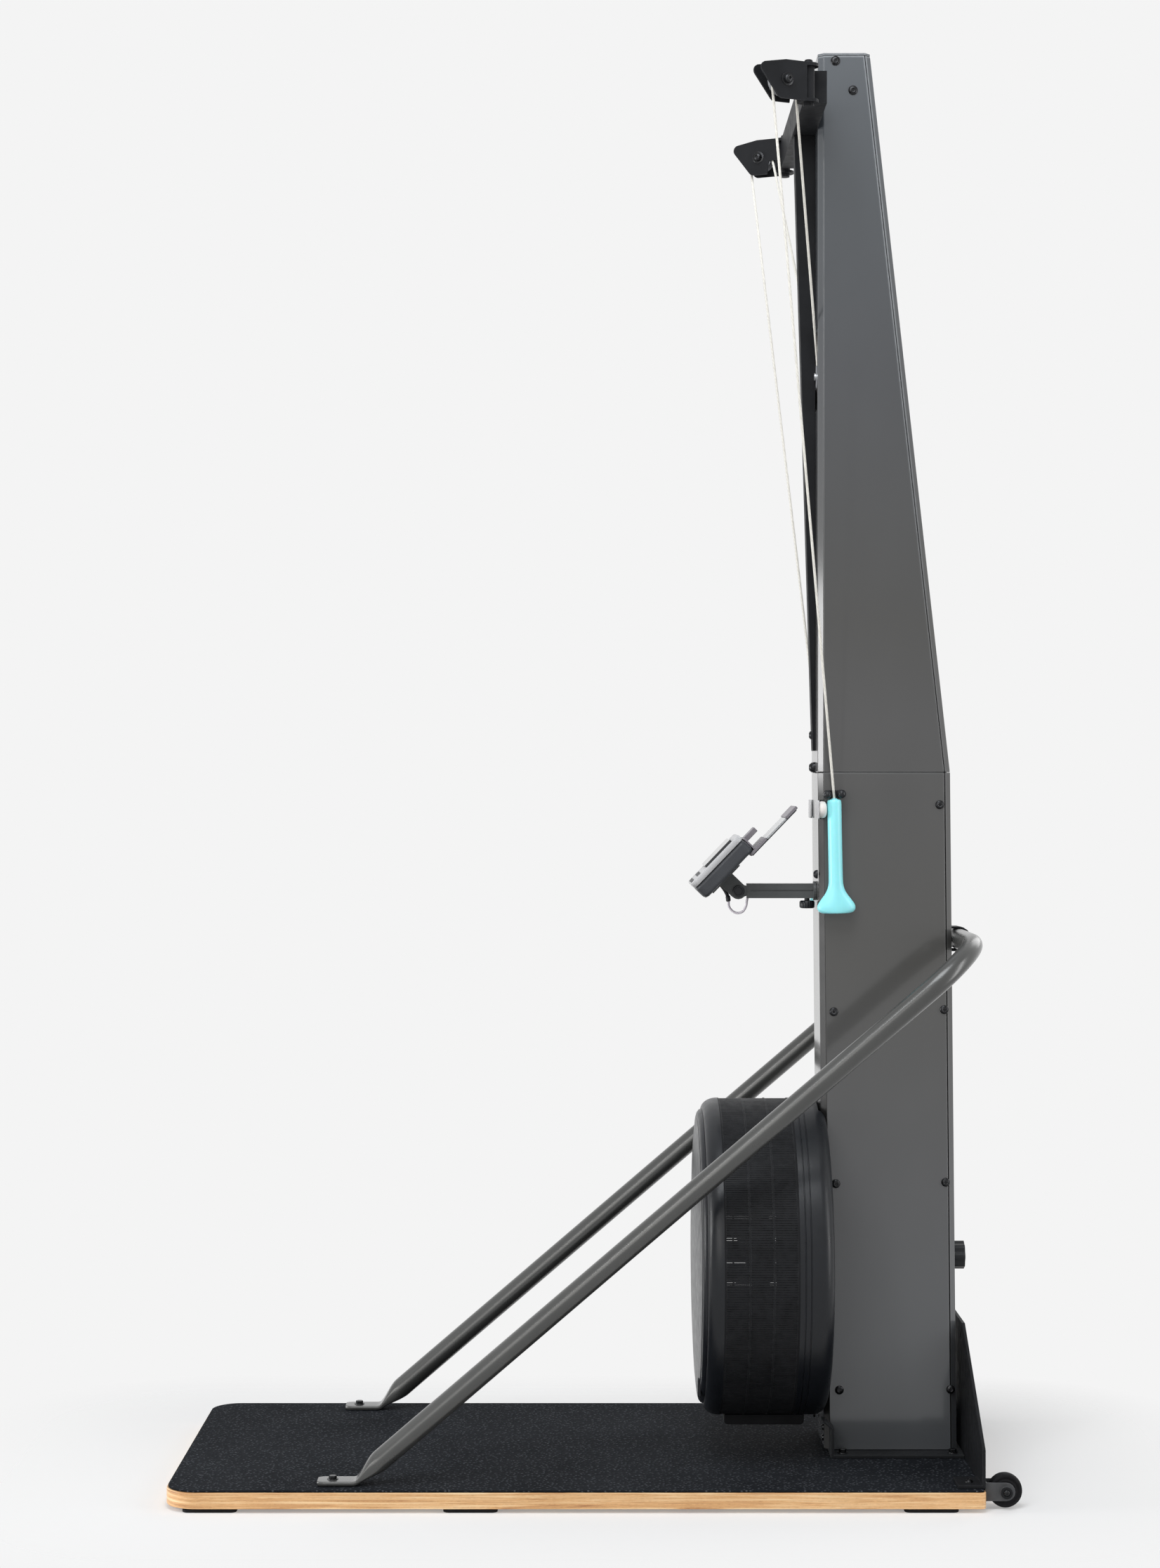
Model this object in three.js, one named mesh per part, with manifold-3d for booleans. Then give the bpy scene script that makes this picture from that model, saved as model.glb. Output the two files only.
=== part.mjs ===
// Ski ergometer: a free-standing pull trainer with an air flywheel, as a scene of separate named pieces.
// Millimetres, +Z up. X runs along the board from the user (-X) to the tower (+X), and Y runs across it.
// The origin is on the floor, in the middle of the object's length and width.
import * as THREE from "three";
import { mergeVertices } from "three/addons/utils/BufferGeometryUtils.js";
import Module from "manifold-3d";

const wasm = await Module();
wasm.setup();

// Running clearance that two touching pieces keep, and the overrun of a cutting tool.
const clearance = 0.3;
const overrun = 2;

// Board, mat and feet
const boardLength = 1207;
const boardWidth = 600;
const boardThickness = 24;
const boardFrontCorner = 48;
const boardRearCorner = 8;
const footHeight = 6;
const footLength = 80;
const footWidth = 32;
const footEdgeInset = 14;
const footStrip = 2;
const footPlaceShares = [0.0562, 0.3734, 0.9341];
const matThickness = 3;
const matInset = 3;

// Transport wheels behind the board
const wheelOverhang = 57;
const wheelRadius = 25.5;
const wheelWidth = 20;
const wheelTrack = 530;
const wheelAxleRadius = 4;
const wheelAxleHead = 6;
const tyreRimShare = 0.12;
const tyreSides = 28;
const bracketPlate = 3;
const bracketHeight = 27;
const bracketSideGap = 2;
const wheelFloorGap = 1;

// Tower: a lower box that leans forward a little and an upper wedge, both of folded sheet
const towerWidth = 130;
const towerDepth = 205;
const towerLean = 10;
const towerFold = 8.5;
const sheet = 2.5;
const jointHeight = 1086;
const towerHeight = 2198;
const towerTopDepth = 81;
const towerRearInset = 12.5;
const capThickness = 4;

// Steel footing of the tower
const trayThickness = 5;
const trayWidth = 198;
const earHeight = 52;
const earKink = 14;
const earDrop = 12;
const gussetThickness = 5;
const gussetWidth = 580;
const gussetTopWidth = 124;
const gussetSideHeight = 57;
const gussetHeight = 201;
const gussetFootDepth = 36;
const gussetFootWidth = 55;
const gussetHole = 7;

// Spine and crossbar at the top of the tower
const spineWidth = 28;
const spineWall = 3;
const spineTopDepth = 33;
const spineFootDepth = 4;
const spineFootHeight = 1120;
const crossbarThickness = 8;
const crossbarDepth = 36;
const crossbarWall = 4;
const crossbarEndGap = 20;
const crossbarHeight = 48;
const crossbarCentreHeight = 2106;
const swivelSpan = 496;
const swivelSetback = 29;
const knuckleRadius = 9;
const swivelPinRadius = 4;
const swivelPinHead = 8;
const swivelPinHeadHeight = 5;
const swivelPinDomeHeightShare = 0.6;
const swivelPinDomeWidthShare = 0.8;

// Swivelling pulley housings
const armSplay = 24.6;
const armPulleyReach = 42.2;
const armCheek = 2.5;
const armInnerWidth = 20;
const armTab = 4.5;
const armBridge = 2.4;
const armBridgeReach = 9.6;
const armNoseRadius = 9;
const armNoseReach = 77;
const armNoseRise = 14;
const armToeReach = 51;
const armToeRadius = 9;
const cordNotchLength = 12;
const cordNotchHeight = 22;
const pulleyRadius = 22;
const pulleyWidth = 18;
const grooveDepth = 5;
const grooveWidth = 16.8;
const grooveFloor = 6;
const pulleyBoltRadius = 4;
const pulleyBoltHead = 7;
const pulleyBoltHeadHeight = 4;

// Guide pulleys where the cords enter the tower
const guideRadius = 17.5;
const guideWidth = 8;
const guideGrooveDepth = 3.5;
const guideGrooveWidth = 6;
const guideGrooveFloor = 4;
const guideSpread = 48;
const guideHeight = 1703;
const guideSetback = 4.5;
const guideWindowTop = 1772;
const guideWindowBottom = 1650;
const guideWindowWidth = 92;
const guideBoltRadius = 3;
const guideCrossPlate = 4;
const guideCrossPlateHeight = 60;

// Cords
const cordRadius = 2;
const cordSides = 8;
const cordWrapSteps = 8;
const outerCordShares = [0.0006, 0.25, 0.5, 0.75, 1];

// Flywheel, its shaft and what turns with it
const flywheelHeight = 330;
const shaftRadius = 10;
const shaftFront = 178;
const shaftRear = 486;
const fanRadius = 212;
const fanDisc = 3;
const fanPlace = 262;
const fanBlades = 16;
const fanBladeDepth = 28;
const fanBladeLength = 70;
const fanBladeThickness = 1.6;
const fanHubRadius = 30;
const fanHubLength = 44;
const fanSides = 32;
const bearingRadius = 21;
const bearingWidth = 14;
const spoolRadius = 24;
const spoolFlange = 6;
const spoolWidth = 22;
const spoolFlangeWidth = 2;
const spoolPlaces = [392, 430];
const shaftPlatePlace = 466;
const shaftPlate = 4;
const shaftPlateHeight = 120;

// Flywheel housing
const drumRadius = 245;
const drumFront = 156.5;
const drumRear = 359.5;
const drumWall = 3;
const coverRadius = 228;
const coverDepth = 13;
const coverDome = 6;
const coverDomeShares = [0, 0.45, 0.8, 1];
const coverLap = 9;
const meshFront = 194.5;
const meshRear = 306.5;
const meshWall = 1.6;
const meshSlots = 40;
const meshRim = 6;
const meshBar = 12;
const rearShoulder = 20;
const rearStep = 30;
const drumSides = 40;
const backPlateRadius = 196;
const backPlate = 3;
const backWallInnerShare = 0.72;
const towerNotchGap = 1.5;
const drumLugWidth = 90;
const drumLugLength = 124;
const drumLugInset = 8.5;
const drumLugDrop = 11.5;
const drumLugCorner = 6;

// Damper knob at the back of the tower
const damperRadius = 22;
const damperDepth = 18;
const damperLobes = 8;
const damperLobeDepth = 2;
const damperLobeSides = 6;
const damperPlateRadius = 30;
const damperPlate = 2.5;
const damperSpindle = 5;
const damperSpindleLength = 30;

// Brace tube from the board to the back of the tower
const braceRadius = 15.9;
const braceSides = 12;
const braceBend = 100;
const braceTrack = 516;
const braceCrossHeight = 826;
const braceFootPlace = -352;
const braceFootLength = 56;
const braceFootThickness = 7;
const braceFootWidth = 40;
const braceFootBend = 45;
const saddleThickness = 3;
const saddleWidth = 36;
const saddleEar = 18;

// Handles and their hooks
const handleTop = 1046;
const handleBottom = 869;
const handlePlace = 371;
const handleTilt = 3.5;
const handleOut = 15.5;
const gripRadius = 11;
const gripNeckRadius = 8.5;
const gripLip = 2.25;
const gripSwellShares = [0.28, 0.62];
const handleFlare = 59.5;
const handleFlareDepth = 27;
const handleFlareHeight = 40;
const handleBase = 11;
const handleFlareShares = [
  [0, 1],
  [0.14, 0.88],
  [0.34, 0.5],
  [0.62, 0.18],
  [1, -0.1],
];
const handleBoreRadius = 3;
const hookThickness = 10;
const hookLength = 25;
const hookReach = 27;
const hookSlot = 6;
const hookCorner = 4;

// Monitor, its arm and the device holder
const armBarHeight = 22.8;
const armBarWidth = 20;
const armGroove = 1.5;
const armGrooveHeight = 2.4;
const armTubeHeight = 900.7;
const armTubeReach = 116;
const armFlangeRadius = 15;
const armFlange = 4;
const clampKnobRadius = 12;
const clampKnobHeight = 12;
const clampKnobPlace = 9.5;
const clampKnobStud = 4;
const knuckleWidth = 20;
const knuckleSide = 12;
const tiltPinRadius = 4;
const tiltPinHead = 8;
const tiltPinHeadHeight = 6;
const monitorRecline = 43.9;
const monitorWidth = 126;
const monitorHeight = 107;
const monitorThickness = 24;
const monitorBezel = 10;
const monitorRim = 9;
const monitorFaceOffset = 64;
const monitorRise = 9;
const monitorCorner = 12;
const screenThickness = 3;
const earPlate = 3;
const earWidth = 26;
const mountPlateHeight = 60;
const mountPlateWidth = 70;
const holderWidth = 104;
const holderHeight = 104;
const holderThickness = 6;
const holderSeat = 10;
const holderLedge = 22;
const holderTabHeight = 26;
const holderTabThickness = 8;
const holderTabWidth = 40;
const cableRadius = 2;
const cableSteps = 36;

// Shapes used all over
const pi = Math.PI;
const quarter = pi / 2;
const radians = (degrees) => (degrees * pi) / 180;
const roundSides = 20;
const boltSides = 12;
const point = (x, y, z) => new THREE.Vector3(x, y, z);

// Turns the faces of a closed geometry outwards and leaves only its positions.
function closed(geometry) {
  const bare = geometry.index ? geometry.toNonIndexed() : geometry.clone();
  bare.deleteAttribute("normal");
  bare.deleteAttribute("uv");
  const merged = mergeVertices(bare, 1e-3);
  const place = merged.attributes.position;
  const corners = Array.from(merged.index.array);
  const kept = [];
  let volume = 0;
  for (let i = 0; i < corners.length; i += 3) {
    const [a, b, c] = corners.slice(i, i + 3);
    if (a === b || b === c || a === c) continue;
    const [pa, pb, pc] = [a, b, c].map((n) => new THREE.Vector3().fromBufferAttribute(place, n));
    volume += pa.dot(pb.cross(pc));
    kept.push([a, b, c]);
  }
  const facing = volume < 0 ? kept.map(([a, b, c]) => [a, c, b]) : kept;
  merged.setIndex(facing.flat());
  return merged;
}

// Geometry to solid and back, for cuts and joins.
function solid(geometry) {
  const body = closed(geometry);
  const mesh = { numProp: 3, vertProperties: body.attributes.position.array };
  return new wasm.Manifold(new wasm.Mesh({ ...mesh, triVerts: new Uint32Array(body.index.array) }));
}
function geometryOf(body) {
  const mesh = body.getMesh();
  const geometry = new THREE.BufferGeometry();
  geometry.setAttribute("position", new THREE.BufferAttribute(mesh.vertProperties, 3));
  return geometry.setIndex(new THREE.BufferAttribute(mesh.triVerts, 1));
}
const cut = (geometry, ...tools) =>
  geometryOf(tools.reduce((left, tool) => left.subtract(solid(tool)), solid(geometry)));
const join = (geometry, ...more) =>
  geometryOf(more.reduce((sum, one) => sum.add(solid(one)), solid(geometry)));

// A box between two corners.
function box([x0, x1], [y0, y1], [z0, z1]) {
  const geometry = new THREE.BoxGeometry(x1 - x0, y1 - y0, z1 - z0);
  return geometry.translate((x0 + x1) / 2, (y0 + y1) / 2, (z0 + z1) / 2);
}

// Lathe and plate frames: which way the drawn axes point.
const toX = new THREE.Matrix4().makeBasis(point(0, 1, 0), point(1, 0, 0), point(0, 0, -1));
const toZ = new THREE.Matrix4().makeBasis(point(1, 0, 0), point(0, 0, 1), point(0, -1, 0));
const plateAlongX = new THREE.Matrix4().makeBasis(point(0, 1, 0), point(0, 0, 1), point(1, 0, 0));
const plateAlongY = new THREE.Matrix4().makeBasis(point(1, 0, 0), point(0, 0, 1), point(0, -1, 0));

// A turned piece: pairs of place along the axis and radius.
const turned = (profile, sides = roundSides) =>
  new THREE.LatheGeometry(
    profile.map(([along, radius]) => new THREE.Vector2(radius, along)),
    sides,
  );
const turnedX = (profile, sides) => turned(profile, sides).applyMatrix4(toX);
const turnedZ = (profile, sides) => turned(profile, sides).applyMatrix4(toZ);
const rod = (start, end, radius) => [
  [start, 0],
  [start, radius],
  [end, radius],
  [end, 0],
];
const ring = (start, end, inner, outer) => [
  [start, inner],
  [start, outer],
  [end, outer],
  [end, inner],
  [start, inner],
];

// A plate from an outline, with holes, across X, Y or Z between two places.
function plate(outline, holes, depth) {
  const shape = new THREE.Shape(outline.map(([u, v]) => new THREE.Vector2(u, v)));
  const paths = holes.map((hole) => new THREE.Path(hole.map(([u, v]) => new THREE.Vector2(u, v))));
  shape.holes.push(...paths);
  return new THREE.ExtrudeGeometry(shape, { depth, bevelEnabled: false });
}
const plateX = (outline, [x0, x1], holes = []) =>
  plate(outline, holes, x1 - x0).applyMatrix4(plateAlongX).translate(x0, 0, 0);
const plateY = (outline, [y0, y1], holes = []) =>
  plate(outline, holes, y1 - y0).applyMatrix4(plateAlongY).translate(0, y1, 0);
const plateZ = (outline, [z0, z1], holes = []) => plate(outline, holes, z1 - z0).translate(0, 0, z0);

// Points of an arc, counter-clockwise when the end angle is the larger.
function arc([u, v], radius, from, to, steps = 6) {
  return Array.from({ length: steps + 1 }, (_, i) => {
    const angle = from + ((to - from) * i) / steps;
    return [u + radius * Math.cos(angle), v + radius * Math.sin(angle)];
  });
}
const circle = (centre, radius, sides = boltSides) => arc(centre, radius, 0, 2 * pi, sides).slice(0, -1);

const fourOf = (radius) => Array(4).fill(radius);

// A rectangle with a radius for each corner, from the low corner round counter-clockwise.
function rounded([u0, u1], [v0, v1], radii, steps = 6) {
  const [r0, r1, r2, r3] = radii;
  return [
    ...arc([u0 + r0, v0 + r0], r0, pi, pi + quarter, steps),
    ...arc([u1 - r1, v0 + r1], r1, -quarter, 0, steps),
    ...arc([u1 - r2, v1 - r2], r2, 0, quarter, steps),
    ...arc([u0 + r3, v1 - r3], r3, quarter, pi, steps),
  ];
}

// A curve through corner points, one section at each, for tubes with straight runs.
class Route extends THREE.Curve {
  constructor(points) {
    super();
    this.points = points;
  }
  getPoint(t) {
    const last = this.points.length - 1;
    const place = Math.min(Math.max(t, 0), 1) * last;
    const low = Math.min(Math.floor(place), last - 1);
    return this.points[low].clone().lerp(this.points[low + 1], place - low);
  }
  getPointAt(t) {
    return this.getPoint(t);
  }
  getTangent(t) {
    const last = this.points.length - 1;
    const near = Math.round(Math.min(Math.max(t, 0), 1) * last);
    const back = this.points[Math.max(near - 1, 0)];
    const here = this.points[near];
    const ahead = this.points[Math.min(near + 1, last)];
    const sum = here.clone().sub(back).normalize().add(ahead.clone().sub(here).normalize());
    return sum.normalize();
  }
  getTangentAt(t) {
    return this.getTangent(t);
  }
}
function tube(points, radius, sides) {
  const section = new THREE.Shape(circle([0, 0], radius, sides).map(([u, v]) => new THREE.Vector2(u, v)));
  return new THREE.ExtrudeGeometry(section, { steps: points.length - 1, extrudePath: new Route(points) });
}

// Rounds one corner of a route: the points of the arc between its two runs.
function bend(before, corner, after, radius, steps) {
  const into = before.clone().sub(corner).normalize();
  const out = after.clone().sub(corner).normalize();
  const half = into.angleTo(out) / 2;
  const middle = into.clone().add(out).normalize();
  const centre = corner.clone().addScaledVector(middle, radius / Math.sin(half));
  const start = corner.clone().addScaledVector(into, radius / Math.tan(half)).sub(centre);
  const end = corner.clone().addScaledVector(out, radius / Math.tan(half)).sub(centre);
  const swing = start.angleTo(end);
  return Array.from({ length: steps + 1 }, (_, i) => {
    const share = i / steps;
    const a = Math.sin((1 - share) * swing) / Math.sin(swing);
    const b = Math.sin(share * swing) / Math.sin(swing);
    return centre.clone().addScaledVector(start, a).addScaledVector(end, b);
  });
}

// Materials
const finish = (color, roughness, metalness) =>
  new THREE.MeshStandardMaterial({ color, roughness, metalness });
const plywood = finish(0xc79a5b, 0.6, 0);
const matRubber = finish(0x1d2228, 0.95, 0);
const rubber = finish(0x141414, 0.9, 0);
const gunMetal = finish(0x5c6065, 0.4, 0.6);
const blackPaint = finish(0x17181a, 0.45, 0.3);
const steel = finish(0xb4b6b8, 0.3, 0.9);
const blackPlastic = finish(0x1b1c1e, 0.55, 0);
const greyPlastic = finish(0x9a9da1, 0.4, 0.2);
const handlePlastic = finish(0x98eff9, 0.35, 0);
const cordYarn = finish(0xe9e6df, 0.9, 0);
const screenGlass = finish(0x0b1016, 0.15, 0);
const clearPlastic = finish(0xdfe4e6, 0.3, 0);

const object = new THREE.Group();
function add(name, geometry, material, parent = object) {
  const mesh = new THREE.Mesh(closed(geometry), material);
  mesh.name = name;
  parent.add(mesh);
}
const sides = [
  ["left", -1],
  ["right", 1],
];

// Heights and places that the sub-parts share
const overallLength = boardLength + wheelOverhang;
const boardFront = -overallLength / 2;
const boardRear = boardFront + boardLength;
const boardTop = footHeight + boardThickness;
const matBottom = boardTop + clearance;
const matTop = matBottom + matThickness;
const trayBottom = matTop + clearance;
const trayTop = trayBottom + trayThickness;
const towerFoot = trayTop + clearance;
const towerRear = boardRear - towerRearInset;
const towerFront = towerRear - towerDepth;
const halfTower = towerWidth / 2;
const innerHalfTower = halfTower - sheet - clearance;
const mitre = sheet * Math.tan(pi / 8);
const leanAt = (z) => (-towerLean * (z - towerFoot)) / (jointHeight - towerFoot);
const frontAt = (z) => towerFront + leanAt(z);
const rearAt = (z) => towerRear + leanAt(z);
const upperFront = frontAt(jointHeight);
const upperTop = towerHeight - capThickness - clearance;
const taper = towerDepth - towerTopDepth;
const upperLeanAt = (z) => (-taper * (z - jointHeight)) / (towerHeight - jointHeight);
const upperRearAt = (z) => upperFront + towerDepth + upperLeanAt(z);

// Shifts each level of a geometry along X by a rule of its height.
function leaned(geometry, shiftAt) {
  const place = geometry.attributes.position;
  for (let i = 0; i < place.count; i += 1) {
    place.setX(i, place.getX(i) + shiftAt(place.getZ(i), place.getX(i)));
  }
  return geometry;
}

// Board, mat and feet
function addBoard() {
  const corners = [boardFrontCorner, boardRearCorner, boardRearCorner, boardFrontCorner];
  const outline = rounded([boardFront, boardRear], [-boardWidth / 2, boardWidth / 2], corners, 8);
  add("base_board", plateZ(outline, [footHeight, boardTop]), plywood);
  const matCorners = corners.map((radius) => radius - matInset);
  const matX = [boardFront + matInset, boardRear - matInset];
  const matY = [matInset - boardWidth / 2, boardWidth / 2 - matInset];
  add("deck_mat", plateZ(rounded(matX, matY, matCorners, 8), [matBottom, matTop]), matRubber);
  const corner = fourOf(footWidth / 4);
  const padTop = footHeight - clearance;
  sides.forEach(([side, sign]) => {
    const y = sign * (boardWidth / 2 - footEdgeInset - footWidth / 2);
    const places = footPlaceShares.map((share) => boardFront + share * boardLength);
    const pads = places.map((x) => {
      const footX = [x - footLength / 2, x + footLength / 2];
      const footY = [y - footWidth / 2, y + footWidth / 2];
      return plateZ(rounded(footX, footY, corner, 3), [0, padTop]);
    });
    const stripX = [places[0], places[places.length - 1]];
    const stripY = [y - footWidth / 4, y + footWidth / 4];
    const strip = box(stripX, stripY, [padTop - footStrip, padTop]);
    add(`foot_rail_${side}`, join(strip, ...pads), rubber);
  });
}

// Transport wheels, each in its own bracket on the board's rear edge
function addWheels() {
  const wheelX = boardRear + wheelOverhang - wheelRadius;
  const wheelZ = wheelFloorGap + wheelRadius;
  const bracketZ = [wheelZ - bracketHeight / 2, wheelZ + bracketHeight / 2];
  const backX = [boardRear + clearance, boardRear + clearance + bracketPlate];
  sides.forEach(([side, sign]) => {
    const y = (sign * wheelTrack) / 2;
    const innerY = wheelWidth / 2 + bracketSideGap;
    const outerY = innerY + bracketPlate;
    const noseRadius = bracketHeight / 2;
    const cheek = [
      [backX[0], bracketZ[0]],
      ...arc([wheelX, wheelZ], noseRadius, -quarter, quarter, 8),
      [backX[0], bracketZ[1]],
    ];
    const cheeks = [-1, 1].map((way) => {
      const faces = [y + way * innerY, y + way * outerY].sort((a, b) => a - b);
      return plateY(cheek, faces);
    });
    const back = box(backX, [y - outerY, y + outerY], bracketZ);
    const rim = wheelRadius * tyreRimShare;
    const tyre = turned(
      [
        [-wheelWidth / 2, wheelAxleRadius + clearance],
        [-wheelWidth / 2, wheelRadius - rim],
        [rim - wheelWidth / 2, wheelRadius],
        [wheelWidth / 2 - rim, wheelRadius],
        [wheelWidth / 2, wheelRadius - rim],
        [wheelWidth / 2, wheelAxleRadius + clearance],
        [-wheelWidth / 2, wheelAxleRadius + clearance],
      ],
      tyreSides,
    );
    add(`transport_wheel_${side}`, tyre.translate(wheelX, y, wheelZ), rubber);
    const head = outerY + wheelAxleHead;
    const axle = turned(
      [
        [-head, 0],
        [-head, wheelAxleRadius * 2],
        [-outerY, wheelAxleRadius * 2],
        [-outerY, wheelAxleRadius],
        [outerY, wheelAxleRadius],
        [outerY, wheelAxleRadius * 2],
        [head, wheelAxleRadius * 2],
        [head, 0],
      ],
      boltSides,
    );
    const bolt = axle.translate(wheelX, y, wheelZ);
    add(`wheel_bracket_${side}`, join(back, ...cheeks, bolt), blackPaint);
  });
}

// Tray under the tower with its two front ears, and the gusset plate behind it
function addFooting() {
  const gussetX = [boardRear - gussetThickness, boardRear];
  const trayX = [towerFront + earKink / 2, gussetX[0] - clearance];
  const floor = box(trayX, [-trayWidth / 2, trayWidth / 2], [trayBottom, trayTop]);
  const earX = trayX[0];
  const earTop = trayTop + earHeight;
  const ear = [
    [earX, trayBottom],
    [earX + trayThickness, trayBottom],
    [earX + trayThickness, earTop - earDrop],
    [earX + trayThickness - earKink, earTop],
    [earX - earKink, earTop],
    [earX, earTop - earDrop],
  ];
  const ears = sides.map(([, sign]) => {
    const faces = [sign * (halfTower + clearance), (sign * trayWidth) / 2].sort((a, b) => a - b);
    return plateY(ear, faces);
  });
  add("base_tray", join(floor, ...ears), blackPaint);

  const half = gussetWidth / 2;
  const outline = [
    [-half, trayBottom],
    [half, trayBottom],
    [half, trayBottom + gussetSideHeight],
    [gussetTopWidth / 2, trayBottom + gussetHeight],
    [-gussetTopWidth / 2, trayBottom + gussetHeight],
    [-half, trayBottom + gussetSideHeight],
  ];
  const holeZ = trayBottom + gussetHeight - gussetTopWidth / 8 - gussetHole;
  const holeY = gussetTopWidth / 2 - 2 * gussetHole;
  const holes = sides.map(([, sign]) => circle([sign * holeY, holeZ], gussetHole));
  const wall = plateX(outline, gussetX, holes);
  const feet = sides.map(([, sign]) => {
    const faces = [sign * (half - gussetFootWidth), sign * half].sort((a, b) => a - b);
    return box([gussetX[0] - gussetFootDepth, gussetX[1]], faces, [trayBottom, trayTop]);
  });
  add("rear_gusset_plate", join(wall, ...feet), blackPaint);
}

// Plan of the channel of a tower section between its front face and its rear edge, and of its rear cover
function channel(front, rear) {
  const edge = front + towerFold;
  return [
    [rear, halfTower],
    [edge, halfTower],
    [front, halfTower - towerFold],
    [front, towerFold - halfTower],
    [edge, -halfTower],
    [rear, -halfTower],
    [rear, sheet - halfTower],
    [edge + mitre, sheet - halfTower],
    [front + sheet, towerFold + mitre - halfTower],
    [front + sheet, halfTower - towerFold - mitre],
    [edge + mitre, halfTower - sheet],
    [rear, halfTower - sheet],
  ];
}
function rearCover(rear) {
  const edge = rear - towerFold;
  return [
    [edge, -halfTower],
    [rear, towerFold - halfTower],
    [rear, halfTower - towerFold],
    [edge, halfTower],
    [edge - mitre, halfTower - sheet],
    [rear - sheet, halfTower - towerFold - mitre],
    [rear - sheet, towerFold + mitre - halfTower],
    [edge - mitre, sheet - halfTower],
  ];
}
const coverInset = towerFold + mitre + clearance;

// One tower section: a folded channel and its rear cover, each leaned by its own rule and cut
function addTowerSection(name, front, heights, [frontShift, rearShift], [channelCuts, coverCuts]) {
  const rear = front + towerDepth;
  const middle = (front + rear) / 2;
  const shift = (z, x) => (x < middle ? frontShift(z) : rearShift(z));
  const shell = leaned(plateZ(channel(front, rear - coverInset), heights), shift);
  const back = leaned(plateZ(rearCover(rear), heights), shift);
  add(`tower_${name}_channel`, cut(shell, ...channelCuts), gunMetal);
  add(`tower_${name}_rear_cover`, cut(back, ...coverCuts), gunMetal);
}
function addTower() {
  const flywheelFront = frontAt(flywheelHeight);
  const shaftHole = turnedX(
    rod(flywheelFront - towerFold, flywheelFront + towerFold, bearingRadius + clearance),
  ).translate(0, 0, flywheelHeight);
  const flywheelRear = rearAt(flywheelHeight);
  const damperHole = turnedX(
    rod(flywheelRear - towerFold, flywheelRear + towerFold, damperSpindle + clearance),
  ).translate(0, 0, flywheelHeight);
  const lowerZ = [towerFoot, jointHeight - clearance];
  addTowerSection("lower", towerFront, lowerZ, [leanAt, leanAt], [[shaftHole], [damperHole]]);
  const windowX = [upperFront - overrun, upperFront + sheet + overrun];
  const windowY = [-guideWindowWidth / 2, guideWindowWidth / 2];
  const window = box(windowX, windowY, [guideWindowBottom, guideWindowTop]);
  const upperZ = [jointHeight + clearance, upperTop];
  addTowerSection("upper", upperFront, upperZ, [() => 0, upperLeanAt], [[window], []]);
  const capRear = upperRearAt(towerHeight);
  const capFold = Math.min(towerFold, (capRear - upperFront) / 4);
  const cap = [
    [upperFront + capFold, -halfTower],
    [capRear - capFold, -halfTower],
    [capRear, capFold - halfTower],
    [capRear, halfTower - capFold],
    [capRear - capFold, halfTower],
    [upperFront + capFold, halfTower],
    [upperFront, halfTower - capFold],
    [upperFront, capFold - halfTower],
  ];
  add("tower_top_cap", plateZ(cap, [towerHeight - capThickness, towerHeight]), gunMetal);
}

// Plate inside the tower that joins its two sections, with a window for the cords
function addJointPlate() {
  const inset = sheet + clearance;
  const x = [upperFront + inset + mitre, upperFront + towerDepth - inset - 2 * mitre];
  const fold = towerFold;
  const outline = [
    [x[0] + fold, -innerHalfTower],
    [x[1] - fold, -innerHalfTower],
    [x[1], fold - innerHalfTower],
    [x[1], innerHalfTower - fold],
    [x[1] - fold, innerHalfTower],
    [x[0] + fold, innerHalfTower],
    [x[0], innerHalfTower - fold],
    [x[0], fold - innerHalfTower],
  ];
  const windowX = [x[0] + fold, x[0] + towerDepth / 2];
  const window = rounded(windowX, [-innerHalfTower / 2, innerHalfTower / 2], fourOf(fold));
  const plateZs = [jointHeight - shaftPlate / 2, jointHeight + shaftPlate / 2];
  add("tower_joint_plate", plateZ(outline, plateZs, [window]), steel);
}

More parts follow.
